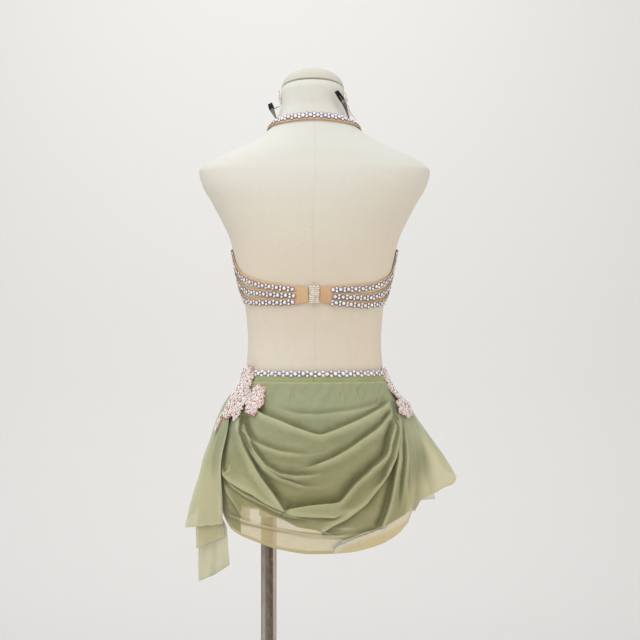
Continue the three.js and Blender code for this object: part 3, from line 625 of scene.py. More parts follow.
for k, (label, (line, length)) in enumerate(strap_lines.items()):
    row = stone_row(line, length, 3, length - 4.5, pitch=12.3, big=6.2, small=4.6, apart=4.9,
                    lift=1.7, shift=-1.3, seed=k)
    wear(set_stones("stones_" + label, row), crystal, "clear_plastic")
row = stone_row(halter_line, halter_length, 4, halter_length - 3, pitch=11.8, big=6.6, small=5.0,
                apart=5.1, lift=1.7, shift=1.3, seed=9)
wear(set_stones("stones_halter", row), crystal, "clear_plastic")
for side, hand in SIDES:
    rim = []
    for row, b in enumerate((93.2, 97.0, 101.2)):
        line = route([(side * b, z) for z in range(1130, 1202, 8)], 4.1, 60)
        length = line[-1][3]
        rim += stone_row(line, length, 1 + row * 3, length - 1, pitch=11.0, big=5.2, small=3.6,
                         apart=5.0, lift=0.1, seed=40 + row)
    wear(set_stones("stones_cup_side_" + hand, rim), crystal, "clear_plastic")

# ---- Back fastening: a nude elastic tab on each side, sewn over the strap ends, and a
# clear moulded clasp between them. It stays closed.
for side, hand in SIDES:
    def tab_face(u, w):
        low, high = mix(1115.2, 1112.2, u), mix(1139.2, 1141.6, u)
        crown = 0.5 * math.sin(math.pi * u) * math.sin(math.pi * w) ** 0.5
        return on_body(side * mix(3.4, 11.4, u), mix(low, high, w), 3.1 + crown)
    tab = laid_grid("tab_" + hand, 16, 24, tab_face)
    thicken(tab, 1.5, side)
    soft = tab.modifiers.new("soft", "BEVEL")
    soft.width, soft.segments = 0.0003, 2
    wear(tab, nude_elastic, "nude_elastic", "back_tab_" + hand)
clear_plastic = finish("clear_plastic", (0.62, 0.55, 0.47), 0.25)
haze = cloud(clear_plastic, object_place(clear_plastic), 420.0, 3.0)
cloudy = ramp(clear_plastic, haze, 0.4, 0.62)
wire(clear_plastic, blend(clear_plastic, cloudy, (0.48, 0.38, 0.29), (0.67, 0.60, 0.52)), "Base Color")
relief(clear_plastic, haze, 0.6, 0.0006)
tune(clear_plastic, Coat_Weight=0.8)
CLASP_HALF, CLASP_LOW, CLASP_HIGH, CLASP_OFF, CLASP_RIBS = 3, 1114, 1142.6, 3.6, 9


def clasp_face(u, w):
    """Fine ribs across, and the raised bar of the hook down the middle."""
    edge = min(u, 1 - u) * 15
    ribs = 0.35 * math.cos(w * 2 * math.pi * CLASP_RIBS) * ease(0, 2, edge)
    bar = 0.7 * math.exp(-((u - 0.5) / 0.09) ** 2)
    off = CLASP_OFF + 0.5 * ease(0, 1.4, edge) + ribs + bar
    return on_body(mix(-CLASP_HALF, CLASP_HALF, u), mix(CLASP_LOW, CLASP_HIGH, w), off)


clasp = laid_grid("back_clasp_clear", 40, 90, clasp_face)
thicken(clasp, 1.6, 1)
wear(clasp, clear_plastic, "clear_plastic", "back_clasp")
sewing = finish("nude_thread", (0.70, 0.52, 0.33), 0.8)


def stitches(name, ends, count, long, thick):
    """A row of sewn thread bars between two places given as (bearing, height, stand-off)."""
    bm = bmesh.new()
    a, b = ends
    run = (on_body(b[0], b[1]) - on_body(a[0], a[1])).normalized()
    for i in range(count):
        t = (i + 0.5) / count
        bearing, z, off = (mix(a[k], b[k], t) for k in range(3))
        out = outward(bearing, z)
        here = on_body(bearing, z) + out * off
        bar = Matrix((run * long, out.cross(run) * thick, out * thick)).transposed().to_4x4()
        spot = Matrix.Translation(here / 1000) @ Matrix.Scale(0.001, 4) @ bar
        bmesh.ops.create_icosphere(bm, subdivisions=1, radius=0.5, matrix=spot)
    return piece_of(name, bm, smooth=False)


for side, hand in SIDES:
    for row, (b, low, high) in enumerate(((4.2, 1116.4, 1138.2), (10.2, 1114, 1140))):
        ends = (side * b, low, 3.6), (side * b, high, 3.6)
        row_of_thread = stitches(f"tab_stitch_{hand}_{row}", ends, 14, 1.5, 0.34)
        wear(row_of_thread, sewing, "nude_elastic")

# ---- Briefs and waistband: sage jersey briefs with the skirt's waistband sewn to their
# top, a flat band whose upper half carries two sizes of crystal.
for node in ("briefs_back", "briefs_front", "briefs_gusset"):
    reclothe(node, sage_knit)
BAND_LOW, BAND_HIGH, BAND_OFF, STONES_Z = 985.7, 1004.2, 4.2, 1000.2


def waistband_face(u, w):
    turn = u * 6.283
    lift = 0.25 * noise.noise(Vector((math.cos(turn) * 22, math.sin(turn) * 22, w * 3)))
    z = mix(BAND_LOW, BAND_HIGH, w) + 0.35 * math.sin(u * 60) * (1 - w)
    return on_body(u * 360, z, BAND_OFF + 1.2 * math.sin(math.pi * w) ** 0.6 + lift)


band = laid_grid("skirt_waistband", 260, 14, waistband_face, closed=True)
thicken(band, 1.4, -1)
wear(band, sage_knit, "sage_knit", "waistband")
line = route([(b, STONES_Z) for b in range(-180, 181, 6)], BAND_OFF + 1.0, 500)
length = line[-1][3]
row = stone_row(line, length, 3, length - 2, pitch=12.6, big=6.4, small=4.7, apart=6.3, lift=0.2, seed=21)
wear(set_stones("stones_waistband", row, dark=0.5), crystal, "clear_plastic")

# ---- Back drape of the skirt: one wide piece of sage stretch mesh, gathered at both
# hips so that it hangs in deep uneven cowls, with a rolled hem. Its top edge is
# stitched flat under the waistband.
DRAPE_TOP, SEWN_LOW, DRAPE_LEFT, DRAPE_RIGHT = 988.4, 984, 63.9, -75.9
SINGLE, HEMMED = (0.71, 0.0), (0.93, 0.42)  # how much a layer or a hem covers, and its depth of tone
drape_hem = curve((-76, -62, -47, -34, -16, 0, 16, 34, 47, 64),
                  (782, 762, 743.5, 733, 724.5, 723, 729, 742, 752, 784))
# A crease: its line from one hip as (bearing, height); how far it stands out; how deep the
# pocket beside it is; the width of its steep side and of its soft side; how far it laps over
# the pocket; how much of each end dies away; and the side of the pocket, 1 to the left of the
# line's direction and -1 to the right.
CREASES = {
    "under_yoke": (((30, 954), (18, 945), (8, 939), (-2, 938), (-11, 941), (-23, 944), (-37, 950),
        (-56, 961)), 2.6, 1.2, 6.0, 20, 0.8, 0.30, 0.15, 1),
    "vee": (((45, 953), (31, 938), (18, 928), (8, 917), (-2.5, 906), (-10, 914), (-20, 924.5), (-34, 938),
        (-60, 959)), 4.8, 3.2, 3.2, 22, 2.2, 0.10, 0.08, 1),
    "second_left": (((49, 935), (42, 914), (34, 898), (25, 888), (16, 881), (5, 877), (-8, 878)), 3.8, 2.2,
        5.0, 16, 1.6, 0.12, 0.45, 1),
    "cowl_left": (((47, 936), (38, 905), (31, 880), (24, 860), (16, 847), (8, 843), (0, 845), (-8, 852)),
        4.2, 3.0, 4.4, 15, 1.8, 0.12, 0.30, 1),
    "cowl_right": (((9, 852), (2, 857), (-9, 872), (-17, 885), (-25, 899), (-37, 916), (-56, 945)), 5.2,
        3.2, 3.4, 21, 2.4, 0.25, 0.08, 1),
    "inner_left": (((46, 931), (39, 899), (32, 877), (25, 857), (16, 840), (3, 827), (-8, 826)), 3.2, 2.4,
        3.6, 10, 1.6, 0.10, 0.35, 1),
    "lip": (((13, 789), (6, 794), (-1, 798), (-12, 801), (-20, 830), (-30, 854), (-40, 873), (-46, 904),
        (-55, 937)), 7.0, 5.5, 3.4, 15, 3.0, 0.03, 0.10, 1),
    "panel_edge": (((50, 943), (44, 914), (36, 879), (29.5, 851), (22, 822), (13, 789)), 6.6, 5.0, 3.0, 26,
        3.0, 0.10, 0.02, 1),
    "panel_low": (((60, 870), (57, 852), (52, 838), (43, 828), (31, 815), (21, 801), (13, 789)), 5.0, 3.5,
        3.0, 16, 2.4, 0.20, 0.02, -1),
    "band_low": (((14, 788), (8, 784), (0, 782), (-9, 781), (-14, 786)), 3.2, 2.2, 2.6, 7, 1.6, 0.05, 0.20,
        -1),
    "under_panel": (((60, 850), (56, 836), (48, 823), (38, 811), (26, 798), (12, 781), (-2, 775)), 3.2, 2.0,
        2.8, 7, 1.4, 0.10, 0.25, -1),
    "low_left": (((60, 838), (55, 822), (50, 808), (44, 792), (40, 772)), 3.0, 1.6, 3.6, 8, 1.0, 0.10, 0.30,
        -1),
    "left_loop": (((57, 905), (59, 876), (57, 853), (53, 843), (50, 850), (50, 866)), 2.6, 1.8, 3.0, 6, 1.0,
        0.20, 0.20, 1),
    "right_first": (((-57, 941), (-51, 907), (-43, 872), (-37, 840), (-27, 812)), 4.4, 3.0, 3.4, 9, 1.8,
        0.10, 0.30, -1),
    "right_second": (((-57, 938), (-47, 885), (-38, 843), (-26, 803), (-15, 779), (-8, 769), (-2, 756)),
        5.4, 3.6, 3.4, 13, 2.2, 0.10, 0.03, 1),
    "right_third": (((-62, 943), (-53, 898), (-47, 854), (-44, 813), (-40.5, 781), (-36, 759)), 6.0, 4.4,
        3.6, 15, 2.4, 0.10, 0.03, -1),
    "right_turn": (((-9, 727), (-14, 742), (-25, 753), (-36, 759)), 3.2, 2.4, 2.6, 9, 1.6, 0.05, 0.03, 1),
    "right_fourth": (((-66, 940), (-60, 896), (-56, 850), (-54, 806), (-52, 775)), 3.8, 2.0, 6.0, 12, 0.8,
        0.10, 0.30, -1),
    "right_fifth": (((-70, 936), (-67, 890), (-65, 840), (-64, 800)), 2.8, 1.6, 5.0, 9, 0.6, 0.10, 0.30,
        -1),
    "rolled_high": (((55, 782), (34, 770), (16, 762), (1, 753), (-9, 751), (-22, 755)), 1.7, 0.6, 1.6, 3.4,
        0.8, 0.05, 0.10, 1),
    "rolled_low": (((55, 779), (34, 767), (16, 759), (1, 750), (-9, 748), (-22, 752)), 1.7, 0.8, 1.6, 3.4,
        0.8, 0.05, 0.10, -1),
    "pucker_a": (((16, 982), (15, 966), (13, 950)), 0.8, 0.4, 2.4, 4, 0, 0.1, 0.5, 1),
    "pucker_b": (((6, 982), (4, 968), (3, 948)), 0.6, 0.3, 2.6, 5, 0, 0.1, 0.5, 1),
    "pucker_c": (((-10, 982), (-9.5, 965), (-8, 944)), 1.0, 0.5, 2.0, 4, 0, 0.1, 0.5, -1),
    "pucker_d": (((-15, 982), (-15, 966), (-14.5, 950)), 0.9, 0.5, 1.8, 3, 0, 0.1, 0.4, 1),
    "pucker_e": (((-21, 982), (-20, 964), (-18.5, 946)), 1.1, 0.6, 2.0, 3.6, 0, 0.1, 0.5, -1),
    "pucker_f": (((-28, 982), (-28.5, 968), (-28, 952)), 0.9, 0.4, 2.0, 3.6, 0, 0.1, 0.5, 1),
    "pucker_g": (((28, 982), (29, 970), (30, 958)), 0.8, 0.4, 2.2, 4, 0, 0.1, 0.5, -1),
}
# Lines across the low part, as (degrees right of centre, height): where the cloth stops lying
# doubled, the hem of its first layer, and the fold where the right-hand layer turns over.
DOUBLED = ((-64, 700), (-42.6, 700), (-42, 768), (-40.6, 795.5), (-35, 794.4), (-29, 792.4),
           (-22, 783.6), (-14.6, 775.8), (-7.3, 765.2), (0.3, 760.7), (3.3, 757.5), (9, 752),
           (16, 751), (22, 755), (36, 760), (76, 792))
FIRST_HEM = ((-64, 777), (-55, 776), (-43, 768), (-34.5, 766.6), (-27.5, 763.8), (-20, 760.7),
             (-10.5, 757.5), (0.2, 753.8), (7, 750.5), (16, 748.9), (24, 752), (34, 760),
             (50, 776), (76, 796))
TURNED = ((8.8, 600), (9.2, 726), (9.9, 731.6), (11.4, 736.2), (15.5, 742.9), (22.1, 749.7),
          (28.7, 754.7), (34.5, 759.2), (50, 769), (76, 792))
# Painted light and shade in soft patches: bearing, height, spread each way, amount (less than 0 is lighter,
# painted light; more than 0 darker, painted shade).
LIGHT_AND_SHADE_PATCHES = ((3, 930, 14, 12, 0.35), (0, 893, 14, 8, -0.3), (34, 838, 9, 30, -0.55),
         (-2, 790, 15, 5.5, -1.5), (46, 790, 6, 22, 0.4), (-4, 945, 60, 20, 0.12),
         (-68, 815, 8, 60, -0.9), (0, 975, 60, 14, 0.1), (-14.3, 762, 5, 2, -1.1),
         (50, 778, 12, 16, 0.3), (-32, 770, 10, 10, 0.2))
girth_steps = [on_body(b, 870, 10) for b in range(-120, 121)]
girth = np.concatenate([[0], np.cumsum([(q - p).length for p, q in zip(girth_steps, girth_steps[1:])])])
girth -= girth[120]


def flat_place(bearing, height):
    """Unrolled position in mm of a place on the cloth, as seen from behind."""
    return np.stack([-np.interp(bearing, np.arange(-120, 121), girth), height], axis=-1)


def smooth_step(a, b, v):
    t = np.clip((v - a) / (b - a), 0, 1)
    return t * t * (3 - 2 * t)


def crease_effect(flat, line, rise, pocket, steep, soft, lap, fade_in, fade_out, side):
    """How far one crease pushes each point out, and which way it drags it."""
    knots = np.array(line, float)
    spread = np.linspace(0, len(knots) - 1, 90)
    path = np.stack([np.interp(spread, np.arange(len(knots)), knots[:, k]) for k in (0, 1)], axis=-1)
    path = flat_place(path[:, 0], path[:, 1])
    for _ in range(4):
        path[1:-1] = (path[:-2] + path[1:-1] * 2 + path[2:]) / 4
    step = path[1:] - path[:-1]
    run = np.concatenate([[0], np.cumsum(np.hypot(*step.T))])
    reach = max(soft, steep + pocket * 4) + 4
    out, drag, depth = np.zeros(len(flat)), np.zeros_like(flat), np.zeros(len(flat))
    # Only the places that the crease can reach, each with its nearest stretch of the line.
    near = np.where(((flat > path.min(0) - reach) & (flat < path.max(0) + reach)).all(1))[0]
    if not len(near):
        return out, drag, depth
    span = flat[near][:, None, :] - path[None, :-1, :]
    along = np.clip((span * step).sum(2) / (step * step).sum(1), 0, 1)
    gap = span - along[:, :, None] * step
    far = np.hypot(gap[:, :, 0], gap[:, :, 1])
    best = far.argmin(1)
    rows = np.arange(len(near))
    d, g, st = far[rows, best], gap[rows, best], step[best]
    t = (run[best] + along[rows, best] * np.hypot(st[:, 0], st[:, 1])) / run[-1]
    s = side * np.sign(st[:, 0] * g[:, 1] - st[:, 1] * g[:, 0]) * d
    normal = side * np.stack([-st[:, 1], st[:, 0]], axis=-1) / np.hypot(st[:, 0], st[:, 1])[:, None]
    # s is the distance over the line, less than 0 on the ridge's side; t the share along it.
    life = smooth_step(0, max(fade_in, 1e-3), t) * smooth_step(0, max(fade_out, 1e-3), 1 - t)
    wide = steep + pocket * 4
    ridge = rise * (1 - smooth_step(0, soft, -s))
    cliff = rise - (rise + pocket) * smooth_step(0, steep, s)
    basin = -pocket * (1 - smooth_step(steep, wide, s))
    out[near] = life * np.where(s <= 0, ridge, np.where(s < steep, cliff, basin))
    over = lap * (1 - smooth_step(0, soft * 0.5, -s))
    rolled = lap - 1.7 * lap * smooth_step(0, steep, s)
    under = -0.7 * lap * (1 - smooth_step(steep, wide, s))
    drag[near] = (life * np.where(s <= 0, over, np.where(s < steep, rolled, under)))[:, None] * normal
    # Painted shade in the pocket under the cliff, painted highlight on the ridge, and thin painted lines:
    # dark at the cliff, light at the edge.
    shadow = smooth_step(0, steep * 0.8, s) * (1 - smooth_step(steep * 0.8, wide * 0.85, s))
    shine = -(1 - smooth_step(0, soft * 0.45 + 2, -s))
    painted_highlight, dark = np.exp(-((s + 1.2) / 1.1) ** 2), np.exp(-((s - 0.6 * steep) / (0.3 * steep + 0.4)) ** 2)
    painted_edge_lines = 0.42 * dark - 0.35 * painted_highlight
    depth[near] = life * (np.where(s <= 0, shine, shadow) + painted_edge_lines)
    return out, drag, depth * min(1, (rise + pocket) / 7)


def creased(bearing, height):
    """All the creases on the drape: push outwards, new bearing and height, and pocket shade."""
    flat = flat_place(bearing, height)
    push, drag, shade = np.zeros(len(flat)), np.zeros_like(flat), np.zeros(len(flat))
    for crease in CREASES.values():
        o, g, dark = crease_effect(flat, *crease)
        push, drag = push + o, drag + g
        shade = np.where(np.abs(dark) > np.abs(shade), dark, shade)
    moved = flat + drag
    return push, np.interp(-moved[:, 0], girth, np.arange(-120, 121)), moved[:, 1], shade


def unevenness(points, scale, seed):
    return np.array([noise.noise(Vector((x / scale, y / scale, seed))) for x, y in points])


def cloth_grid(name, across, down, cloth):
    """A thin cloth; cloth(u, w) gives rows of bearing, height, stand-off, shade, cover and ply."""
    bm = unit_grid(across, down)
    layers = [bm.verts.layers.float.new(label) for label in ("shade", "cover", "ply")]
    uw = np.array([((v.co.x + 1) / 2, (v.co.y + 1) / 2) for v in bm.verts])
    for v, (b, z, off, *values) in zip(bm.verts, np.array(cloth(uw[:, 0], uw[:, 1])).T):
        v.co = on_body(b, z, off) / 1000
        for layer, value in zip(layers, values):
            v[layer] = value
    return piece_of(name, bm)


def back_drape(u, w):
    bearing = DRAPE_LEFT + (DRAPE_RIGHT - DRAPE_LEFT) * u
    hem = np.array([drape_hem(b) for b in bearing])
    height = DRAPE_TOP + (hem - DRAPE_TOP) * w
    push, b, z, shade = creased(bearing, height)
    flat = flat_place(bearing, height)
    # Sewn flat at the top and caught up at each hip, it hangs free of the body in between.
    sides = (1 - 0.75 * smooth_step(50, 64, bearing)) * (1 - 0.8 * smooth_step(-56, -76, bearing))
    free = smooth_step(SEWN_LOW, SEWN_LOW - 26, height) * sides
    hang = 6.1 - 0.9 * smooth_step(985, 950, height) + 3 * smooth_step(900, 760, height)
    swell = 4.6 * smooth_step(965, 905, height)
    ripple = 1.3 * unevenness(flat * (1, 0.55), 15, 3.1) + 0.5 * unevenness(flat, 6.5, 8.7)
    stand = hang + free * (swell + push + ripple * smooth_step(975, 940, height))
    keep = smooth_step(SEWN_LOW, SEWN_LOW - 10, height)
    b, z = bearing + (b - bearing) * keep * (free > 0), height + (z - height) * keep
    for at, level, wide, tall, amount in LIGHT_AND_SHADE_PATCHES:
        shade = shade + amount * np.exp(-((bearing - at) / wide) ** 2 - ((height - level) / tall) ** 2)
    # A painted highlight along the folded top edge.
    shade = shade - 0.9 * smooth_step(986.2, 987.4, height)
    # Where it lies doubled and where single, and the narrow hems of its two layers.
    right = -bearing
    doubled, first, turn = (height - np.interp(right, *zip(*line)) for line in (DOUBLED, FIRST_HEM, TURNED))
    loose = smooth_step(0.7, -0.7, doubled)
    cover = 0.98 - 0.36 * loose
    ply = 1 - loose
    strip = smooth_step(34, 35, bearing) * smooth_step(42, 41, bearing)
    cover, ply = np.maximum(cover, 0.88 * strip), np.maximum(ply, 0.45 * strip)
    single = smooth_step(0.7, -0.7, first + 3) * smooth_step(0.7, -0.7, doubled)
    cover, ply = mix(cover, SINGLE[0], single), mix(ply, SINGLE[1], single)
    band = smooth_step(3.6, 2.9, np.abs(first)) * loose
    rim = smooth_step(hem + 5.6, hem + 4.8, height)
    band = np.maximum(band, rim)
    cover, ply = mix(cover, HEMMED[0], band), mix(ply, HEMMED[1], band)
    ply = ply * (1 - 0.8 * smooth_step(-54, -70, bearing) * smooth_step(925, 850, height))
    # The layer that turns over on the right, with a painted highlight for its lit edge and a painted shadow
    # for the dark gap above it.
    turned = smooth_step(0.6, -0.6, turn)
    cover = mix(cover, 0.62 + 0.3 * smooth_step(-3, -15, turn), turned)
    ply = mix(ply, 0.06, turned)
    shine = smooth_step(-0.2, 0.5, turn) * smooth_step(3.0, 1.6, turn)
    shine *= smooth_step(13, 18, right) * smooth_step(44, 34, right)
    gap_shadow = smooth_step(0.4, -0.2, turn) * smooth_step(-2.2, -1.2, turn)
    gap_shadow *= smooth_step(10, 13, right) * smooth_step(44, 36, right)
    shade = shade - 1.5 * shine + 2.2 * gap_shadow
    cover = np.maximum(cover, 0.95 * np.maximum(shine, gap_shadow))
    ply = np.maximum(ply, 0.8 * gap_shadow)
    return b, z, np.maximum(stand, 2.4), shade, cover, ply


drape = cloth_grid("back_drape", 300, 270, back_drape)


def stretch_mesh(name, light, olive, painted_highlight, deep, thin):
    """Sage power mesh: deeper where it lies doubled, see-through where single; painted shade darkens the
    pockets, painted highlights lighten the ridges, and painted light makes it cooler at the top and warmer
    lower down.
    """
    m = finish(name, light, 0.62)
    tune(m, Sheen_Weight=0.45, Sheen_Roughness=0.35, Sheen_Tint=(0.80, 0.92, 0.92, 1),
         Specular_IOR_Level=0.25)
    where = object_place(m)
    height = height_of(m, where)
    uneven = ramp(m, cloud(m, where, 26.0, 3.0), 0.3, 0.7, -0.12, 0.12)
    amount = reckon(m, "ADD", painted(m, "shade"), uneven)
    watered = bands(m, where, "DIAGONAL", 34.0, 7.0, Detail=2.0, Detail_Scale=1.2)
    streak, flat_top = ramp(m, watered, 0, 1, -0.16, 0.16), ramp(m, height, 0.945, 0.962)
    amount = reckon(m, "MULTIPLY_ADD", streak, flat_top, amount)
    # Painted light: the cool light tint at the top gives way to the warmer olive lower down.
    ground = blend(m, ramp(m, height, 0.94, 0.80), light, olive)
    lit = blend(m, painted(m, "ply"), thin, ground)
    # Painted highlight where the shade is below 0, then painted shade towards deep where it is above.
    raised = blend(m, ramp(m, amount, -0.1, -1.0, 0, 0.75), lit, painted_highlight)
    wire(m, blend(m, ramp(m, amount, 0.05, 1.0, 0, 0.8), raised, deep), "Base Color")
    wire(m, painted(m, "cover"), "Alpha")
    holes = add_node(m, "TexVoronoi", {"feature": "F1"}, Vector=where, Scale=1500.0, Randomness=0.35)
    relief(m, holes.outputs["Distance"], 0.22, 0.0002)
    return m


sage_mesh = stretch_mesh("sage_mesh", light=(0.270, 0.285, 0.163), olive=(0.268, 0.255, 0.122),
                         painted_highlight=(0.42, 0.42, 0.245), deep=(0.148, 0.144, 0.064),
                         thin=(0.525, 0.43, 0.225))
wear(drape, sage_mesh, "sage_mesh", "skirt_back_drape")

# ---- Side falls of the skirt: the same mesh gathered under the lace at each hip. The left
# one flares into a cape with a long and a short tail behind it; the right one opens into a
# wide fan of two layers. All are cut raw, with an uneven lower edge.
def between(heights, near, far):
    """Stand-off at a height and at a share of the way round from the gathered edge."""
    close, away = curve(heights, near), curve(heights, far)
    return lambda z, share: mix(close(z), away(z), share)


GATHER_TOP = 984.2
flare_stand = between((750, 800, 850, 896, 922, 948, 966, GATHER_TOP),
                      (21, 19.5, 17.5, 15, 13.5, 11, 7.6, 3.3), (61, 45, 26, 15, 13.5, 11, 8, 3.3))
fan_stand = between((779, 820, 860, 890, 920, 945, 956, 966, GATHER_TOP),
                    (14, 13.5, 13, 13, 12.5, 11.5, 10, 8, 3.3),
                    (96, 80, 57, 40, 25, 17, 10, 5.6, 3.3))
flare_hem = curve((56, 70, 88, 100, 112), (764, 757, 750, 756, 772))
fan_hem = curve((64, 69, 71.5, 76, 80.5, 88, 96, 112), (782, 784, 796, 805, 811, 823, 832, 836))


def flare_off(b, z):
    return flare_stand(z, ease(56, 92, b)) + 1.6 * math.sin(math.radians(15 * b)) * ease(930, 820, z)


def fan_off(b, z):
    wave = 2.4 * math.sin(math.radians(15 * b)) * ease(930, 820, z) * ease(-66, -74, b)
    return fan_stand(z, ease(64, 96, -b)) + wave


def gathers(b, z, top, low, seed, depth):
    """Fine uneven pleats that run down from the gathered top and open out below."""
    run = min(1.0, max(0.0, (top - z) / (top - low)))
    wander = noise.noise(Vector((b / 9, z / 70, seed))) * 5
    fine = noise.noise(Vector(((b + wander * 0.3) / 2.6, z / 160, seed + 3)))
    broad = noise.noise(Vector(((b + wander) / 7.5, z / 120, seed + 7)))
    return depth * (fine * 0.45 * (1 - 0.85 * run) + broad * 1.3 * (0.35 + run)) * ease(0, 0.12, run)


def fall(name, across, down, place, pleats, sheer, tones=()):
    """A hanging panel; place gives bearing, height, stand-off, top and hem; pleats depth and seed;
    sheer how thick it looks high and low; tones, painted light and shade (bearing, height, spreads, shade,
    thickness)."""
    def cloth(u, w):
        rows = []
        for a, t in zip(u, w):
            b, z, off, top, low = place(a, t)
            pleat = gathers(b, z, top, low, pleats[1], pleats[0])
            # Painted shade in the pleats' hollows and painted light on their crests.
            shade = min(0.6, max(-0.4, -pleat / pleats[0] * 0.7))
            cover, shaded_ply = mix(sheer[0], sheer[1], ease(0.35, 0.9, t)), 0
            for at, level, wide, tall, dark, thick in tones:
                near = math.exp(-((b - at) / wide) ** 2 - ((z - level) / tall) ** 2)
                shade, cover, shaded_ply = shade + dark * near, cover + thick * near, shaded_ply + max(0, dark) * near
            rim = ease(3.6, 2.6, z - low)
            ply = mix(mix(1.0, 0.12, ease(0.2, 0.8, t)), 0.45, rim * 0.5)
            rows.append((b, z, off + pleat, shade, min(1, cover + 0.16 * rim), min(1, ply + shaded_ply)))
        return np.array(rows).T
    return cloth_grid(name, across, down, cloth)


def left_flare(a, t):
    b = mix(mix(64.5, 54.2, ease(0.04, 0.4, t)), 112, a)
    low = flare_hem(b) + 2.0 * noise.noise(Vector((b / 5, 0, 5)))
    z = mix(GATHER_TOP, low, t)
    return b, z, flare_off(b, z), GATHER_TOP, low


def right_fan(a, t):
    b = -mix(mix(76.4, 60, ease(0.04, 0.26, t)), 112, a)
    low = fan_hem(-b) + 2.6 * noise.noise(Vector((b / 4.2, 0, 9)))
    z = mix(GATHER_TOP, low, t)
    joined = ease(0, 0.17, a) + (1 - ease(0, 0.17, a)) * ease(935, 965, z)
    return b, z, mix(8.8, fan_off(b, z), joined), GATHER_TOP, low


def right_underfan(a, t):
    b = -mix(mix(74, 63.5, ease(0.1, 0.4, t)), 81, a)
    low = mix(780, 797, ease(70.2, 71.2, -b))
    z = mix(950, low, t)
    return b, z, max(fan_off(b, max(z, 779)) * 0.84 - 2.6, 6.5), 950, low


def tail(layer, share, more, hem, start, end):
    """A tail that hangs behind the flare, the second layer further in than the first."""
    edge, top = curve((0, 0.5, 1), hem), 925

    def place(a, t):
        low = edge(a) + 1.4 * noise.noise(Vector((a * 6, layer, 1)))
        z = mix(top, low, t)
        b = mix(mix(start, 66.5, ease(755, 785, z)), end, a)
        flare = flare_off(b, max(z, 752))
        hang = flare * (share + more * a) + 1.3 * math.sin(9 * a) * ease(800, 720, z)
        return b, z, mix(hang, flare - 1.8 * layer, ease(870, 918, z)), top, low
    return place


front_stand = between((790, 850, 900, 950, GATHER_TOP), (36, 24, 15, 7, 3.3), (18, 13, 9, 5, 3.3))


def skirt_front(a, t):
    b = mix(112.5, 247.5, a)
    side = abs(b - 180) / 67.5
    low = mix(806, 790, side * side)
    z = mix(GATHER_TOP, low, t)
    wave = 3.2 * math.sin(math.radians(16 * b)) * ease(960, 830, z)
    return b, z, front_stand(z, 1 - side * side) + wave, GATHER_TOP, low


side_mesh = stretch_mesh("side_mesh", light=(0.285, 0.31, 0.182), olive=(0.43, 0.405, 0.235),
                         painted_highlight=(0.42, 0.43, 0.27), deep=(0.20, 0.20, 0.11),
                         thin=(0.50, 0.455, 0.27))
# Patches of painted light and shade on the flare and the fan, such as the painted shadow in the fan's
# middle: bearing, height, spreads, shade, thickness.
FLARE_LIGHT_AND_SHADE = ((92, 790, 8, 24, -0.3, -0.16), (64, 888, 6, 45, 0.6, 0.06), (80, 880, 7, 30, -0.2, 0))
FAN_LIGHT_AND_SHADE = ((-63.5, 860, 5, 70, 0.9, 0.14), (-72.5, 864, 5.5, 38, 0.95, 0.12),
             (-88, 905, 4, 22, 0.4, 0), (-87, 850, 4, 30, -0.25, 0),
             (-97, 860, 6, 34, 0.5, 0.06), (-104, 838, 6, 16, -0.3, -0.14))
flare = fall("left_flare", 110, 120, left_flare, (2.0, 11.0), (0.96, 0.86), FLARE_LIGHT_AND_SHADE)
fan = fall("right_fan", 110, 110, right_fan, (3.0, 23.0), (0.96, 0.86), FAN_LIGHT_AND_SHADE)
underfan = fall("right_underfan", 70, 90, right_underfan, (1.2, 31.0), (0.8, 0.5))
long_tail = tail(2, 0.42, 0.22, (697, 675, 655), 56.5, 91)
short_tail = tail(1, 0.68, 0.10, (744, 732, 716), 57, 81)
tail_long = fall("left_tail_long", 60, 130, long_tail, (2.0, 41.0), (0.94, 0.80))
tail_short = fall("left_tail_short", 60, 100, short_tail, (1.6, 53.0), (0.94, 0.80))
front = fall("front_panel", 150, 70, skirt_front, (3.2, 67.0), (0.95, 0.9))
wear(flare, side_mesh, "sage_mesh", "skirt_left_flare")
wear(fan, side_mesh, "sage_mesh", "skirt_right_fan")
wear(underfan, side_mesh, "sage_mesh")
wear(tail_long, side_mesh, "sage_mesh", "skirt_left_tail_long")
wear(tail_short, side_mesh, "sage_mesh", "skirt_left_tail_short")
wear(front, side_mesh, "sage_mesh", "skirt_front")

# ---- Lace motifs: corded flower lace in pale pink, cut out and sewn over the gathers at
# both hips. Each flower has padded petals edged with cream cord, sequins and a stone.
lace_pink = finish("lace_pink", (0.80, 0.50, 0.47), 0.7)
wire(lace_pink, painted(lace_pink, "glint", "Color"), "Base Color")
relief(lace_pink, bands(lace_pink, object_place(lace_pink), "DIAGONAL", 700.0, 3.0), 0.4, 0.0004)
tune(lace_pink, Sheen_Weight=0.3)
PINKS = ((0.86, 0.55, 0.52), (0.90, 0.66, 0.62), (0.90, 0.74, 0.70), (0.82, 0.46, 0.43),
         (0.90, 0.80, 0.75))
CORD = (0.92, 0.85, 0.80)
SEQUINS = ((0.90, 0.88, 0.90), (0.80, 0.86, 0.92), (0.86, 0.78, 0.90), (0.92, 0.80, 0.78),
           (0.80, 0.88, 0.84))


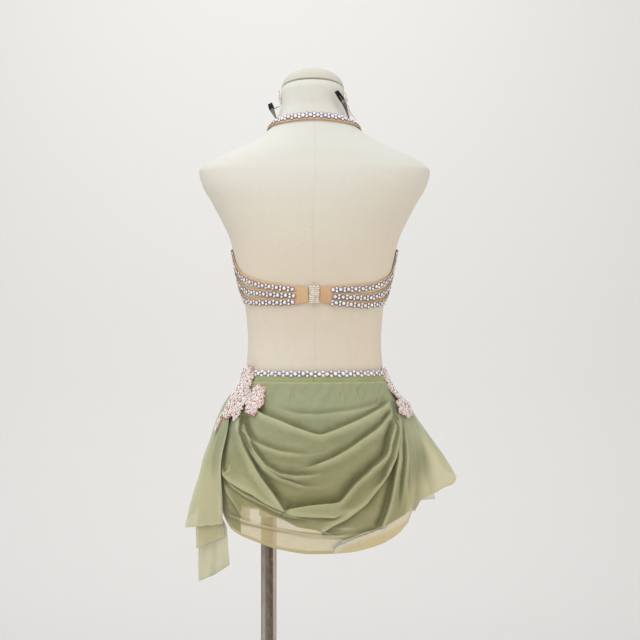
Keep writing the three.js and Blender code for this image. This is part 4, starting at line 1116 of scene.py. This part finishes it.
def motif_place(at, u, v):
    """A place on a motif: u and v mm along and up from its centre, off the cloth beneath."""
    lean = math.radians(at["lean"])
    along, up = u * math.cos(lean) - v * math.sin(lean), u * math.sin(lean) + v * math.cos(lean)
    z = at["z"] + up
    b = at["bearing"] + along / (half_width(z) + 8) * 180 / math.pi
    cover = at.get("cover") or max(5.4, (flare_off(b, z) if b > 0 else fan_off(b, z)) + 2) + at["lift"]
    here = on_body(b, z, cover)
    across, above = on_body(b + 0.5, z, cover) - here, on_body(b, z + 1, cover) - here
    return here, across.normalized(), above.normalized()


def petal(bm, colour, spot, across, up, out, angle, long, wide, tint):
    """One petal: a cupped leaf with a raised cord round its edge."""
    turn = Matrix.Rotation(angle, 3, out)
    forward, side = turn @ up, turn @ across
    made = bmesh.ops.create_grid(bm, x_segments=6, y_segments=5, size=1.0)
    faces = {f for v in made["verts"] for f in v.link_faces}
    corded = {f for f in faces if abs(f.calc_center_median().x) > 0.7 or f.calc_center_median().y > 0.7}
    for v in made["verts"]:
        s, t = v.co.x, (v.co.y + 1) / 2
        w = wide / 2 * (math.sin(math.pi * (0.12 + 0.80 * t)) ** 0.8)
        cup = 0.9 * s * s + 0.9 * math.sin(math.pi * t) + (0.5 if abs(s) > 0.8 else 0)
        v.co = (spot + forward * (t * long) + side * (s * w) + out * (0.5 + cup)) / 1000
    for f in faces:
        for corner in f.loops:
            corner[colour] = (*(CORD if f in corded else tint), 1)


def lace_motif(name, at, flowers, seed):
    """Petals, cords, sequins and stones of one motif; flowers are (u, v, size, petals)."""
    chance = random.Random(seed)
    bm = bmesh.new()
    colour = bm.loops.layers.float_color.new("glint")
    stones = []
    for u, v, size, count in flowers:
        spot, across, up = motif_place(at, u, v)
        out = across.cross(up).normalized()
        out = out if out.dot(spot - Vector((BODY_X, 0, spot.z))) > 0 else -out
        first = chance.uniform(0, 6.28)
        for i in range(count):
            angle = first + i * 2 * math.pi / count + chance.uniform(-0.15, 0.15)
            long = size * chance.uniform(0.85, 1.1)
            petal(bm, colour, spot, across, up, out, angle, long, size * 0.78, chance.choice(PINKS))
        stones.append((spot + out * 1.9, out, up, min(3.2, size * 0.5)))
        for _ in range(chance.choice((1, 1, 2))):
            du, dv = chance.uniform(-size, size) * 0.8, chance.uniform(-size, size) * 0.8
            p, a2, u2 = motif_place(at, u + du, v + dv)
            tilt = (out + a2 * chance.uniform(-0.4, 0.4) + u2 * chance.uniform(-0.4, 0.4)).normalized()
            stones.append((p + out * chance.uniform(1.7, 2.6), tilt, u2, chance.choice((1.7, 2.0, 2.4))))
    wear(piece_of(name, bm), lace_pink, "pink_lace")
    wear(set_stones(name + "_stones", stones, SEQUINS, 0.8), crystal, "clear_plastic")


def scatter(wide, tall, size, count, seed):
    """Flowers spread over an oval motif, close-set, larger in the middle."""
    chance = random.Random(seed)
    flowers = []
    for _ in range(4000):
        u, v = chance.uniform(-1, 1), chance.uniform(-1, 1)
        s = size * mix(1.1, 0.7, u * u + v * v)
        clear = all(math.hypot(u * wide - a, v * tall - b) > (s + c) * 0.6 for a, b, c, _ in flowers)
        if u * u + v * v < 1 and clear and len(flowers) < count:
            flowers.append((u * wide, v * tall, s, chance.choice((5, 6))))
    return flowers


MOTIFS = {  # bearing and height of the centre, half width, half height, lean, lift
    "lace_left_side": (60, 958, 22, 28, 14, 0), "lace_left_upper": (60.5, 980, 24, 32, -4, 2),
    "lace_left_lower": (39, 961, 17, 24, -24, 0.25), "lace_left_tip": (69, 922, 6, 17, 8, -0.2),
    "lace_right_upper": (-75, 978, 20, 30, 4, 0), "lace_right_lower": (-71, 947, 31, 15, -8, 2),
}
for k, (label, (bearing, z, wide, tall, lean, lift)) in enumerate(MOTIFS.items()):
    at = {"bearing": bearing, "z": z, "lean": lean, "lift": lift}
    flowers = scatter(wide - 2, tall - 2, 5.4, round(wide * tall / 14), k + 3)
    lace_motif(label + "_flowers", at, flowers, k + 31)
    # The lace grounds are dark red-brown under the petals, painted shade in the gaps between them; darker
    # still on the left.
    lace_ground_and_shade = ((0.80, 0.64, 0.56), (0.56, 0.34, 0.30))
    if bearing > 0:
        lace_ground_and_shade = ((0.70, 0.36, 0.33), (0.44, 0.15, 0.13))
    reclothe(label, knit("lace_ground_" + label, *lace_ground_and_shade, 500.0))

# One more motif fills the corner between them, sewn straight on the mesh with no ground.
at = {"bearing": 49.7, "z": 952, "lean": 4, "lift": 1.0}
lace_motif("lace_left_middle", at, scatter(9, 24, 5.2, 20, 8), 38)

# ---- Hair clips: two black enamelled steel alligator clips pushed on to the halter, each
# dressed with lace petals and loops of pink ribbon.
black_steel = finish("black_steel", (0.006, 0.006, 0.006), 0.45)
tune(black_steel, Specular_IOR_Level=0.2)
grey_steel = finish("grey_steel", (0.16, 0.16, 0.17), 0.3, 0.8)
# The two bent strips of a clip: share of the way up, width, thickness, and set-off.
LEVER = ((0, 1.2, 0.6, -0.3), (0.3, 4.4, 1.2, -0.5), (0.55, 6.6, 1.6, -1.0), (0.66, 8.6, 1.8, -1.2),
         (0.74, 9.2, 1.8, -1.4), (0.9, 8.2, 1.5, -1.9), (0.98, 7.6, 1.2, -2.1), (1.0, 6.6, 0.6, -2.1))
JAW = ((0.02, 1.0, 0.6, 0.6), (0.3, 3.8, 1.0, 0.9), (0.5, 5.2, 1.2, 1.0), (0.62, 5.4, 1.2, 0.9))
CORNERS = 16


def rounded_turn(t):
    """Across and out on a rounded oblong, at an angle round it."""
    return [math.copysign(abs(f(t)) ** 0.5, f(t)) for f in (math.cos, math.sin)]


for hand, foot, head, facing, bow, fork in (
    ("left", (60, 1410, 3.9), (BODY_X + 73, 25, 1439), (0.25, 1, 0), 0.8, (BODY_X + 56.7, 26, 1433.6)),
    ("right", (-55, 1410, 4.3), (BODY_X - 36, 44, 1456), (-0.4, 1, 0), -3.2, (BODY_X - 41, 44, 1447)),
):
    tip = on_body(foot[0], foot[1]) + outward(foot[0], foot[1]) * foot[2]
    along = Vector(head) - tip
    side = Vector(facing).cross(along).normalized()
    out = along.cross(side).normalized()
    for part, rows, material in (("lever", LEVER, black_steel), ("jaw", JAW, grey_steel)):
        bm = bmesh.new()
        rings = []
        for share, wide, deep, off in rows:
            centre = tip + along * share + out * off + side * bow * math.sin(math.pi * share)
            turns = [rounded_turn(2 * math.pi * i / CORNERS) for i in range(CORNERS)]
            ring = [centre + side * wide / 2 * c + out * deep / 2 * s for c, s in turns]
            rings.append([bm.verts.new(p / 1000) for p in ring])
        for a, b in zip(rings, rings[1:]):
            for i in range(CORNERS):
                j = (i + 1) % CORNERS
                bm.faces.new((a[i], a[j], b[j], b[i]))
        bm.faces.new(rings[0][::-1])
        bm.faces.new(rings[-1])
        bmesh.ops.recalc_face_normals(bm, faces=bm.faces)
        nodes = ("hair_clip_" + hand,) if part == "lever" else ()
        wear(piece_of(f"clip_{part}_{hand}", bm), material, "black_clip_metal", *nodes)
    bm = bmesh.new()
    hinge = tip + along * 0.62 + out * 0.4 + side * bow * 0.9
    wire_end = Vector(fork)
    shares = (0, 0.2, 0.4, 0.6, 0.8, 1)
    beads = [(hinge.lerp(wire_end, share), mix(0.0015, 0.0009, share)) for share in shares]
    beads += [(hinge + side * k * 0.8, 0.0011) for k in range(-3, 4)]
    for spot, radius in beads:
        bmesh.ops.create_icosphere(bm, subdivisions=2, radius=radius, matrix=Matrix.Translation(spot / 1000))
    wear(piece_of("clip_spring_" + hand, bm), grey_steel, "black_clip_metal")

RIBBONS = {  # width, colour, and path of bearing, height and stand-off
    "left_high": (1.4, (0.62, 0.34, 0.33), ((84, 1460, 1.5), (88, 1463, 3.4), (93, 1461, 3.0),
                                            (96, 1457, 1.8))),
    "left_low": (1.2, (0.80, 0.58, 0.56), ((88, 1450, 3.8), (87, 1446, 3.6), (85, 1443, 2.0),
                                           (83, 1441, 1.0))),
    "right_petal": (2.6, (0.78, 0.46, 0.45), ((-58, 1446, 2.6), (-64, 1445.6, 4.6), (-72, 1442, 5.0),
                                              (-78, 1439, 3.4))),
    "right_high": (1.8, (0.82, 0.60, 0.56), ((-80, 1440, 3.0), (-86, 1447, 5.2), (-92, 1449, 4.4),
                                             (-94, 1441, 2.8))),
    "right_loop": (2.0, (0.78, 0.50, 0.48), ((-76, 1441, 3.4), (-84, 1434, 5.4), (-86, 1428, 4.6),
                                             (-80, 1422, 3.2))),
    "right_inner": (1.6, (0.84, 0.66, 0.60), ((-72, 1442, 3.2), (-73, 1432, 3.4), (-77, 1424, 3.2),
                                              (-82, 1418, 4.0))),
    "right_strand": (1.9, (0.70, 0.38, 0.37), ((-80, 1428, 4.4), (-84, 1422, 4.8), (-86, 1416, 5.2),
                                               (-87, 1410, 6.0))),
    "right_leaf": (3.4, (0.62, 0.64, 0.36), ((-76, 1458, 1.6), (-80, 1455, 2.8), (-85, 1452, 3.0),
                                             (-89, 1449, 1.8))),
}
for label, (wide, tint, path) in RIBBONS.items():
    knots = [on_body(b, z) + outward(b, z) * off for b, z, off in path]
    smooth = [curve(range(4), [p[k] for p in knots]) for k in range(3)]
    bm = bmesh.new()
    colour = bm.loops.layers.float_color.new("glint")
    made = bmesh.ops.create_grid(bm, x_segments=4, y_segments=24, size=1.0)
    for v in made["verts"]:
        t, s = (v.co.y + 1) * 1.5, v.co.x
        p = Vector([f(t) for f in smooth])
        along = Vector([f(min(3, t + 0.05)) - f(max(0, t - 0.05)) for f in smooth]).normalized()
        out = (p - Vector((BODY_X + NECK_LEAN, NECK_Y, p.z))).normalized()
        side = out.cross(along).normalized()
        taper = math.sin(math.pi * mix(0.12, 0.88, t / 3)) ** 0.6
        v.co = (p + side * s * wide / 2 * taper + out * 0.5 * s * s) / 1000
    for f in bm.faces:
        for corner in f.loops:
            corner[colour] = (*tint, 1)
    ribbon = wear(piece_of("ribbon_" + label, bm), lace_pink, "pink_lace")
    thicken(ribbon, 0.4, -1)
for label, at, flowers in (
    ("hair_lace_left", {"bearing": 82, "z": 1449, "lean": 0, "cover": 1.9},
     ((0, 0, 3.4, 6), (-2, 6, 2.6, 5))),
    ("hair_lace_right", {"bearing": -84, "z": 1437, "lean": 10, "cover": 1.9},
     ((0, 8, 3.2, 5), (2, -1, 3.4, 6), (-1, -9, 3, 5))),
):
    lace_motif(label + "_flowers", at, flowers, 5)
    reclothe(label, knit("lace_ground_" + label, (0.80, 0.74, 0.71), (0.74, 0.60, 0.57), 500.0))
